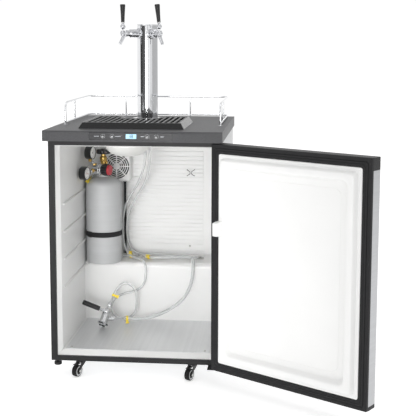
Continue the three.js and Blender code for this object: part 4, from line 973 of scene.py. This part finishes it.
WHEEL_FOOT = NECK_TOP + UP * (78 + GAP)
handwheel = merge(
    moved(scalloped(26, 2.8, 8, [(0.86, 1), (0.96, 1.5), (1, 4), (1, 13), (0.96, 15.5), (0.84, 17)]),
          Matrix.Translation(WHEEL_FOOT)),
    disc(14, 0, 2, WHEEL_FOOT, sides=48),
    turned([(0, 16), (10.5, 16), (10, 19), (8.5, 19.8), (0, 19.8)], WHEEL_FOOT, sides=48),
)
piece("handwheel", handwheel, BLACK_PLASTIC, "valve_handwheel", stands_for="valve_handwheel",
      bevel=0.3)
nut = disc(4.6, 19, 19.9, WHEEL_FOOT, sides=6)
piece("handwheel_nut", nut, NICKEL, "valve_handwheel", bevel=0.2)

# ---------- regulator ----------
body = merge(
    turned([(0, -23.8), (11.2, -23.8), (13, -22.5), (17.8, -16.5), (18, -3), (21.5, -1.2),
            (22, 0.4), (22, 7), (21.2, 8.2), (16.8, 10), (16, 13.5), (0, 13.7)],
           regulator_point(0, 0, 0), KNOB_AXIS, 64),
    rod((OUTLET.x, OUTLET.y - 36 - GAP, OUTLET.z), (OUTLET.x, REGULATOR.y + 5, OUTLET.z), 7.8, 32),
    rod(regulator_point(-14, 0, 10), regulator_point(-26, 0, 27), 5.8, 32),
    rod(regulator_point(-10, -8, 0), regulator_point(-22, -29, -7), 5.8, 32),
    tube([OUTLET_ROOT, OUTLET_ROOT.lerp(GAS_OUTLET, 0.5), OUTLET_ROOT.lerp(GAS_OUTLET, 0.55), GAS_OUTLET],
         [6.6, 6.2, 4.2, 4.2], 24),
)
piece("regulator_housing", body, CASTING, stands_for="regulator_body", bevel=0.4)
ports = merge(
    turned([(0, 0), (7.5, 0), (8, 1), (8, 8), (7.5, 9), (0, 9)],
           regulator_point(-14.5, 0, 12.5), regulator_point(-26, 0, 61) - regulator_point(-14, 0, 10), 6),
    turned([(0, 0), (7.5, 0), (8, 1), (8, 7), (7.5, 8), (0, 8)],
           regulator_point(-13, -14.5, -1.5), regulator_point(-22, -29, -7) - regulator_point(-10, -8, 0),
           6),
)
piece("regulator_ports", ports, BRASS, bevel=0.3)
for i in range(6):
    angle = math.radians(60 * i + 20)
    spot = regulator_point(8.2, 19.3 * math.cos(angle), 19.3 * math.sin(angle))
    piece(f"bonnet_screw_{i + 1}", screw_head(spot, KNOB_AXIS, 2.1), NICKEL)

KNOB_START = 14 + GAP
knob_place = CABINET @ facing(KNOB_AXIS, regulator_point(KNOB_START, 0, 0))
knob = merge(
    scalloped(22.5, 1.8, 18, [(0.76, 0.4), (0.80, 1.2), (0.90, 6.5), (1, 12), (1, 24), (0.97, 26.2),
                              (0.88, 27.2)], 8),
    disc(15, 0.2, 1, sides=48),
)
piece("knob_grip", knob, BLACK_PLASTIC, "regulator_knob", knob_place, stands_for="regulator_knob")
red_cap = turned([(0, 26.2), (19.2, 26.2), (19.6, 27.5), (19.2, 32.5), (17.8, 34.8), (12, 35.8), (0, 36)],
                 sides=64)
piece("knob_cap", red_cap, RED, "regulator_knob", knob_place)


def gauge(name, node, centre, stem, needle_angle):
    """A pressure gauge: case, stem, dial, tick marks, needle and lens. It faces along the knob's axis."""
    radius, thick, face = 25, 27, 5
    place = CABINET @ facing(KNOB_AXIS, centre)
    case = turned(
        [(0, face - thick), (radius - 4, face - thick), (radius - 1.2, face - thick + 1.6),
         (radius, face - thick + 4),
         (radius, face - 3), (radius - 0.4, face - 0.8), (radius - 1.6, face), (radius - 2.8, face),
         (radius - 3.2, face - 3), (0, face - 3)],
        sides=72,
    )
    piece(name + "_case", case, GLOSS_BLACK, place=place, stands_for=node)
    back = Vector(centre) + KNOB_AXIS * (-thick / 2 + face)
    stem = Vector(stem)
    root = merge(
        disc(6, radius - 4.5, radius + 0.4, back, stem,
               40),
        turned([(0, radius), (6.2, radius), (6.6, radius + 0.8), (6.6, radius + 7.6), (6.2, radius + 8.4),
                (0, radius + 8.4)], back, stem, 6),
    )
    piece(name + "_stem", root, BRASS, bevel=0.3)
    dial = disc(21.6, face - 3.4, face - 2.6, sides=72)
    piece(name + "_dial", dial, DIAL, place=place)
    ticks = []
    for i in range(25):
        angle = math.radians(225 - 270 * i / 24)
        inner = 16 if i % 4 == 0 else 17.8
        wide = 0.45 if i % 4 == 0 else 0.25
        mark = block((inner, 19.8), (-wide, wide), (face - 2.7, face - 2.35))
        ticks.append(moved(mark, Matrix.Rotation(angle, 4, "Z")))
    turns = [math.radians(a) for a in range(-45, 226, 6)]
    arc = [Vector((14.2 * math.cos(t), 14.2 * math.sin(t), face - 2.5)) for t in turns]
    ticks.append(tube(arc, 0.22, 6))
    piece(name + "_ticks", merge(*ticks), INK, place=place)
    pointer = [Vector(p) for p in ((-5, -0.7, 0), (-5, 0.7, 0), (16.5, 0.15, 0), (16.5, -0.15, 0))]
    needle = rings([[p + UP * (face - 2.2) for p in pointer], [p + UP * (face - 1.8) for p in pointer]])
    needle = merge(moved(needle, spun(needle_angle, "Z")),
                   turned([(0, face - 2.6), (1.9, face - 2.6), (1.7, face - 1.2), (0, face - 1)], sides=24))
    piece(name + "_needle", needle, RED if "low" in name else INK, place=place)
    lens = turned([(0, face - 0.9), (21.8, face - 0.9), (21.8, face - 0.3), (15, face - 0.1), (0, face)],
                  sides=72)
    piece(name + "_lens", lens, LENS, place=place)


across = Vector((-KNOB_AXIS.y, KNOB_AXIS.x, 0))
gauge("high_gauge", "high_pressure_gauge", regulator_point(-26, 0, 61), -UP, 140)
gauge("low_gauge", "low_pressure_gauge", regulator_point(-16, -66, -7), across, 60)

# ---------- tee and coupler ----------
def barbed(start, end, radius, ridges=3):
    """A hose barb: a spigot with saw-tooth ridges near its end."""
    start, end = Vector(start), Vector(end)
    length = (end - start).length
    profile = [(0, 0), (radius * 0.85, 0)]
    for i in range(ridges):
        foot = length - 4 * (ridges - i)
        profile += [(radius * 0.78, foot), (radius, foot + 0.6), (radius * 0.8, foot + 3.8)]
    profile += [(radius * 0.74, length), (0, length)]
    return turned(profile, start, end - start, 32)


tee_body = merge(
    turned([(0, -9), (6.2, -9), (6.8, -8), (6.8, 8), (6.2, 9), (0, 9)], TEE, (1, 0, 0), 6),
    barbed(TEE, TEE_LEFT, 4.2), barbed(TEE, TEE_RIGHT, 4.2),
    rod(TEE, TEE.lerp(TEE_PLUG, 0.98), 4.2, 24),
    disc(5.8, 10, 20, TEE, TEE_PLUG - TEE, 6),
)
piece("tee_fitting", tee_body, NICKEL, stands_for="gas_tee", bevel=0.4)

coupler_length = (COUPLER_TOP - COUPLER_TIP).length
probe = turned([(0, 0), (5.2, 0), (6, 0.8), (6.6, 7.5), (10.5, 9), (0, 9)], COUPLER_TIP, COUPLER_AXIS, 64)
flange_body = turned(
    [(0, 8.5), (11.2, 8.5), (18.2, 11.8), (19, 13), (19, 19.2), (18, 20.5), (15.2, 22.2),
     (14.8, 40), (15, 42), (15, 53), (13.8, 56), (12, 58), (12, 69.8), (10.8, 71.5),
     (8, 74), (5.8, 77.5), (5.5, 79), (5.5, 99.5), (0, 99.5)],
    COUPLER_TIP, COUPLER_AXIS, 72,
)
collar_nut = turned([(0, 84.5), (7.8, 84.5), (8.2, 85.5), (8.2, 93.5), (7.8, 94.5), (0, 94.5)], COUPLER_TIP,
                    COUPLER_AXIS, 6)
top_barb = barbed(COUPLER_TIP + COUPLER_AXIS * 99, COUPLER_TIP + COUPLER_AXIS * (coupler_length - GAP), 4.2,
                  2)
arm_direction = (COUPLER_BARB - BARB_ROOT).normalized()
arm_length = (COUPLER_BARB - BARB_ROOT).length
arm = merge(
    turned([(0, 0), (8, 0), (8, 22.5), (6.8, 24), (0, 24)], BARB_ROOT, arm_direction, 48),
    turned([(0, 23.2), (7.4, 23.2), (7.8, 24.2), (7.8, 33), (7.4, 34), (0, 34)], BARB_ROOT, arm_direction,
           6),
    barbed(BARB_ROOT + arm_direction * 33, BARB_ROOT + arm_direction * (arm_length - GAP), 4.2),
)
lug_turn = facing(COUPLER_AXIS, COUPLER_TIP)
lugs = [
    moved(block((-5, 5), (16, 20.6), (12.6, 18)),
          lug_turn @ spun(90 * i + 30, "Z"))
    for i in range(4)
]
piece("coupler_casting", merge(probe, flange_body, collar_nut, top_barb, arm, *lugs), CASTING,
      stands_for="coupler_body",
      bevel=0.4)
seal = turned([(6.8, 5.8), (11.2, 6.2), (11.6, 7.6), (11.2, 9), (6.8, 9)], COUPLER_TIP, COUPLER_AXIS, 64)
piece("coupler_seal", seal, RUBBER)
grip_ring = turned([(18.8, 13.6), (19.4, 14.2), (19.4, 18.2), (18.8, 18.8)], COUPLER_TIP, COUPLER_AXIS, 72)
piece("coupler_base_ring", grip_ring, BLACK_PLASTIC)

PIVOT = COUPLER_TIP + COUPLER_AXIS * 62
handle_axis = (COUPLER_HANDLE_END - PIVOT).normalized()
handle_length = (COUPLER_HANDLE_END - PIVOT).length
pin_axis = COUPLER_AXIS.cross(handle_axis).normalized()
handle_turn = Matrix((handle_axis, pin_axis, handle_axis.cross(pin_axis))).transposed().to_4x4()
HANDLE = CABINET @ Matrix.Translation(PIVOT) @ handle_turn
grip_start = handle_length - 68
YOKE_INNER, YOKE_OUTER, YOKE_START, YOKE_HALF = 12.6, 14.8, 15, 3.5


def yoke_cheek(side):
    """A cheek with a round end about the pin."""
    outline = [(YOKE_START + 2, YOKE_HALF)]
    for i in range(9):
        angle = math.radians(90 + 180 * i / 8)
        outline.append((YOKE_HALF * math.cos(angle), YOKE_HALF * math.sin(angle)))
    outline.append((YOKE_START + 2, -YOKE_HALF))
    return rings([[Vector((x, side * y, z)) for x, z in outline] for y in (YOKE_INNER, YOKE_OUTER)])


yoke = merge(
    yoke_cheek(1), yoke_cheek(-1),
    block((YOKE_START, YOKE_START + 3), (-YOKE_OUTER, YOKE_OUTER), (-YOKE_HALF, YOKE_HALF)),
    turned([(0, YOKE_START), (6, YOKE_START + 1), (5.6, YOKE_START + 4.5), (4.8, YOKE_START + 7),
            (4.4, grip_start + 3), (0, grip_start + 3)], axis=(1, 0, 0), sides=40),
)
piece("coupler_yoke", yoke, CASTING, "coupler_handle", HANDLE, bevel=0.4)
pin_head = [(0, YOKE_OUTER - 0.4), (2.6, YOKE_OUTER - 0.4), (2.6, YOKE_OUTER + 0.6), (1.8, YOKE_OUTER + 1),
            (0, YOKE_OUTER + 1)]
pin_heads = merge(*[turned(pin_head, axis=(0, side, 0), sides=24) for side in (1, -1)])
piece("coupler_pin_heads", pin_heads, NICKEL, "coupler_handle", HANDLE)
ribs = []
for i in range(10):
    foot = grip_start + 12 + i * 5.2
    ribs += [(9.4, foot), (9.4, foot + 3), (8.7, foot + 3.6), (8.7, foot + 4.6)]
handle_profile = [(0, grip_start), (7.6, grip_start), (8.4, grip_start + 1.2), (9.2, grip_start + 11),
                  *ribs,
                  (9, handle_length - 3), (7.6, handle_length - 0.4), (0, handle_length)]
piece("coupler_grip", turned(handle_profile, axis=(1, 0, 0), sides=56), BLACK_PLASTIC, "coupler_handle",
      HANDLE,
      stands_for="coupler_handle")

# ---------- casters ----------
TRAIL, WHEEL, HALF_WIDE, FORK_TOP = 26, 20, 9, 54.7
AXLE = Vector((TRAIL, 0, WHEEL))
CASTERS = {
    "front_left": (-193, 26, -112), "front_right": (193, 26, -112),
    "rear_left": (-193, 540, -96), "rear_right": (193, 540, -96),
}


def fork_cheek(side):
    """One cheek of a caster's fork, with a rounded lower end round the axle."""
    outline = [(-9, 48.5), (14, 48.5), (20, 40), (TRAIL + 6.8, 22.5)]
    for i in range(7):
        angle = math.radians(20 - 220 * i / 6)
        outline.append((TRAIL + 6.8 * math.cos(angle), WHEEL + 6.8 * math.sin(angle)))
    outline += [(TRAIL - 12, 30), (-4, 39.5), (-9, 43)]
    near = HALF_WIDE + 0.6
    loops = [[Vector((x, side * y, z)) for x, z in outline] for y in (near, near + 2.4)]
    return rings(loops)


for name, (x, y, heading) in CASTERS.items():
    place = CABINET @ Matrix.Translation((x, y, 0)) @ spun(heading, "Z")
    saddle = block((-8.5, 13.5), (-HALF_WIDE - 3, HALF_WIDE + 3), (46.2, 48.5))
    swivel = turned([(0, 48), (15, 48), (16.8, 49.5), (17, 51), (17, 52.5), (15.5, 53.2),
                     (15.5, FORK_TOP), (0, FORK_TOP)], sides=48)
    brake = block((12, 40), (-7.5, 7.5), (43.2, 45))
    fork = merge(saddle, swivel, fork_cheek(1), fork_cheek(-1), brake)
    piece(f"fork_{name}", fork, DARK_METAL, f"caster_fork_{name}", place, stands_for=f"caster_fork_{name}",
          bevel=0.5)
    tread = []
    for i in range(7):
        across_y = -HALF_WIDE + 2 * HALF_WIDE * i / 6
        drop = 0.8 * abs(2 * i / 6 - 1) ** 3
        tread.append((WHEEL - drop, across_y))
    tyre_profile = [(11.8, -HALF_WIDE + 1.2), (17.2, -HALF_WIDE), *tread, (17.2, HALF_WIDE),
                    (11.8, HALF_WIDE - 1.2)]
    wheel_body = f"caster_wheel_{name}"
    piece(f"tyre_{name}", turned(tyre_profile, AXLE, (0, 1, 0), 72), TYRE, wheel_body, place,
          stands_for=wheel_body, bevel=0.3)
    hub_profile = [(0, -HALF_WIDE + 1), (5, -HALF_WIDE + 0.4), (6, -HALF_WIDE + 2.2),
                   (10.5, -HALF_WIDE + 2.6),
                   (12, -HALF_WIDE + 1.4), (12, HALF_WIDE - 1.4), (10.5, HALF_WIDE - 2.6),
                   (6, HALF_WIDE - 2.2), (5, HALF_WIDE - 0.4), (0, HALF_WIDE - 1)]
    piece(f"wheel_hub_{name}", turned(hub_profile, AXLE, (0, 1, 0), 56), CHARCOAL, wheel_body, place)
    # A light grey ring on each side of the wheel: a painted highlight, standing in for the light the
    # rounded sides catch.
    highlight_rings = [
        turned([(11.8, HALF_WIDE - 1.2), (16.8, HALF_WIDE - 0.4), (16.8, HALF_WIDE + 0.2),
                (12.2, HALF_WIDE - 0.4)],
               AXLE, (0, side, 0), 56)
        for side in (-1, 1)
    ]
    piece(f"wheel_side_highlight_{name}", merge(*highlight_rings), WHEEL_HIGHLIGHT_GREY, wheel_body, place)
    axle_reach = HALF_WIDE + 4
    axle = merge(
        rod((TRAIL, -axle_reach + 1, WHEEL), (TRAIL, axle_reach - 1, WHEEL), 2.8, 24),
        turned([(0, 3.2), (4.8, 3.2), (4.8, 3.8), (3.6, 4.6), (0, 4.6)],
               (TRAIL, HALF_WIDE - 0.2, WHEEL), (0, 1, 0), 24),
        turned([(0, 3.2), (4.8, 3.2), (4.8, 4), (0, 4.4)], (TRAIL, -HALF_WIDE + 0.2, WHEEL), (0, -1, 0), 6),
    )
    piece(f"axle_{name}", axle, NICKEL, wheel_body, place)

# ---------- door ----------
dress("door_skin", STAINLESS, 1.2)
dress("door_top_cap", CHARCOAL, 1.8)
dress("door_bottom_cap", CHARCOAL, 1.2)
DOOR_HALF, DOOR_HALF_HEIGHT = 291, 378.25


def door_ring(inset, y, radius, steps=10):
    loop = rounded_loop(DOOR_HALF - inset, DOOR_HALF_HEIGHT - inset, radius, steps)
    return [Vector((u, y, DOOR_MIDDLE_Z + v)) for u, v in loop]


# Each row is (inset from the door's edge, depth, corner radius).
GASKET = [
    (0, -12, 3), (0, -4, 3), (1.2, -2.4, 4), (11, -2.2, 8), (12.2, -3.6, 8),
    (13, -1.4, 9), (15, -0.6, 10), (18.5, -0.6, 11), (19.6, -2, 11), (20.8, -0.8, 12),
    (26.5, -0.8, 12), (28.5, -1.8, 12), (29.8, -4, 12), (29.8, -12, 12),
]
piece("gasket_profile", rings([door_ring(*row) for row in GASKET], ring_closed=True), RUBBER, "door", DOOR,
      stands_for="door_gasket")
PANEL = [
    (30.4, -12, 6), (30.4, -3, 6), (32, -1.4, 8), (40, -1.2, 10), (42, -0.4, 12),
    (43.2, 4, 13), (47, 16, 15), (49, 18.8, 16), (52, 20, 17), (66, 20, 18),
    (69, 18.8, 19), (71, 16, 20), (75.5, 3, 22), (77.5, 0, 23), (80, -1.2, 24),
    (96, -1.2, 24), (96.8, -2, 24), (98.4, -2, 24), (99.2, -1.2, 24),
]
piece("door_inner_panel", rings([door_ring(*row) for row in PANEL]), DOOR_WHITE, "door", DOOR,
      stands_for="door_liner")
BOSS_LEFT, BOSS_RIGHT, BOSS_LOW, BOSS_HIGH = 226, 247, 520, 568
boss = rings([
    [Vector((x, y, z)) for x, z in ((left, low), (right, low), (right, high), (left, high))]
    for y, left, right, low, high in [
        (y, BOSS_LEFT + s, BOSS_RIGHT - s, BOSS_LOW + s, BOSS_HIGH - s)
        for s, y in ((0, 10), (0.5, 32), (2.5, 50), (5, 54.5))
    ]
])
piece("door_boss", boss, DOOR_WHITE, "door", DOOR, bevel=2)
for z in (64.2, 802.1):
    piece(f"hinge_leaf_screw_{int(z)}", screw_head((262, -53.1, z - 4), (0, -1, 0), 3.6), NICKEL, "door",
          DOOR)

# ---------- stage ----------
floor_mesh = bpy.data.meshes.new("floor")
FLOOR_HALF = 9.0
floor_mesh.from_pydata(
    [(-FLOOR_HALF, -FLOOR_HALF, 0), (FLOOR_HALF, -FLOOR_HALF, 0), (FLOOR_HALF, FLOOR_HALF, 0),
     (-FLOOR_HALF, FLOOR_HALF, 0)],
    [], [(0, 1, 2, 3)],
)
floor = bpy.data.objects.new("floor", floor_mesh)
STUDIO_FLOOR = surface("studio_floor", (0.9, 0.9, 0.9), 0.9, mottle=(2, 0.01), grain=(60, 0.02))
set_shader(STUDIO_FLOOR, Emission_Color=(1, 1, 1, 1), Emission_Strength=0.45)
floor.data.materials.append(STUDIO_FLOOR)
scene.collection.objects.link(floor)

# The world is a white studio with dark strips round the horizon, which the chrome shows as bands.
# Each stop is (share of a turn from the back, brightness). The strips fade out by STRIPS_END, a height.
STUDIO_STOPS = [
    (0.00, 1.0), (0.280, 1.0), (0.292, 0.035), (0.350, 0.05), (0.372, 0.10), (0.444, 0.11), (0.458, 1.0),
    (0.515, 1.0),
    (0.524, 0.55), (0.536, 0.55), (0.545, 1.0), (0.588, 1.0), (0.600, 0.50), (0.930, 0.55), (0.955, 1.0),
    (1.00, 1.0),
]
STRIPS_END = (0.09, 0.14)
ABOVE_STRIPS = 0.80
world = bpy.data.worlds.new("studio")
world.use_nodes = True
scene.world = world
sky = world.node_tree
direction = add(sky, "TexCoord")
parts = add(sky, "SeparateXYZ", Vector=direction.outputs["Generated"])
azimuth = sky.nodes.new("ShaderNodeMath")
azimuth.operation = "ARCTAN2"
flip = sky.nodes.new("ShaderNodeMath")
flip.operation = "MULTIPLY"
flip.inputs[1].default_value = -1
sky.links.new(parts.outputs["Y"], flip.inputs[0])
sky.links.new(parts.outputs["X"], azimuth.inputs[0])
sky.links.new(flip.outputs["Value"], azimuth.inputs[1])
turn_share = add(sky, "MapRange", Value=azimuth.outputs["Value"], From_Min=-math.pi, From_Max=math.pi)
strips = add(sky, "ValToRGB", Fac=turn_share.outputs["Result"])
while len(strips.color_ramp.elements) < len(STUDIO_STOPS):
    strips.color_ramp.elements.new(0.5)
for element, (share, level) in zip(strips.color_ramp.elements, STUDIO_STOPS):
    element.position = share
    element.color = (level, level, level, 1)
height = sky.nodes.new("ShaderNodeMath")
height.operation = "ABSOLUTE"
sky.links.new(parts.outputs["Z"], height.inputs[0])
fade = add(sky, "MapRange", Value=height.outputs["Value"], From_Min=STRIPS_END[0], From_Max=STRIPS_END[1])
dome = sky.nodes.new("ShaderNodeMix")
dome.data_type = "RGBA"
feed(sky, dome, {"Factor": fade.outputs["Result"], "A": strips.outputs["Color"],
                 "B": (ABOVE_STRIPS, ABOVE_STRIPS, ABOVE_STRIPS, 1)})
feed(sky, sky.nodes["Background"], {"Color": dome.outputs["Result"], "Strength": 1.02})


def area_light(name, place, target, size, power):
    data = bpy.data.lights.new(name, "AREA")
    data.size = size
    data.energy = power
    lamp = bpy.data.objects.new(name, data)
    scene.collection.objects.link(lamp)
    lamp.location = place
    lamp.rotation_euler = (Vector(target) - Vector(place)).to_track_quat("-Z", "Y").to_euler()
    return data


area_light("key", (-2.2, -3.2, 2.6), (-0.2, 0.2, 0.6), 2.0, 10)
area_light("fill", (2.8, -2.6, 1.8), (0, 0, 0.6), 2.4, 6)
area_light("top", (-0.3, 0.2, 3.4), (-0.2, 0, 0), 2.0, 10)
inside_aim = CABINET @ Vector((20, 400, 420))
inside = area_light("inside", CABINET @ Vector((-150, -2300, 620)), inside_aim, 1.0, 1.45)
inside.spread = math.radians(30)
area_light("door", (-1.0, -2.3, 0.3), DOOR @ Vector((0, 0, 250)), 1.2, 0.3)
scene.view_settings.view_transform = "Standard"
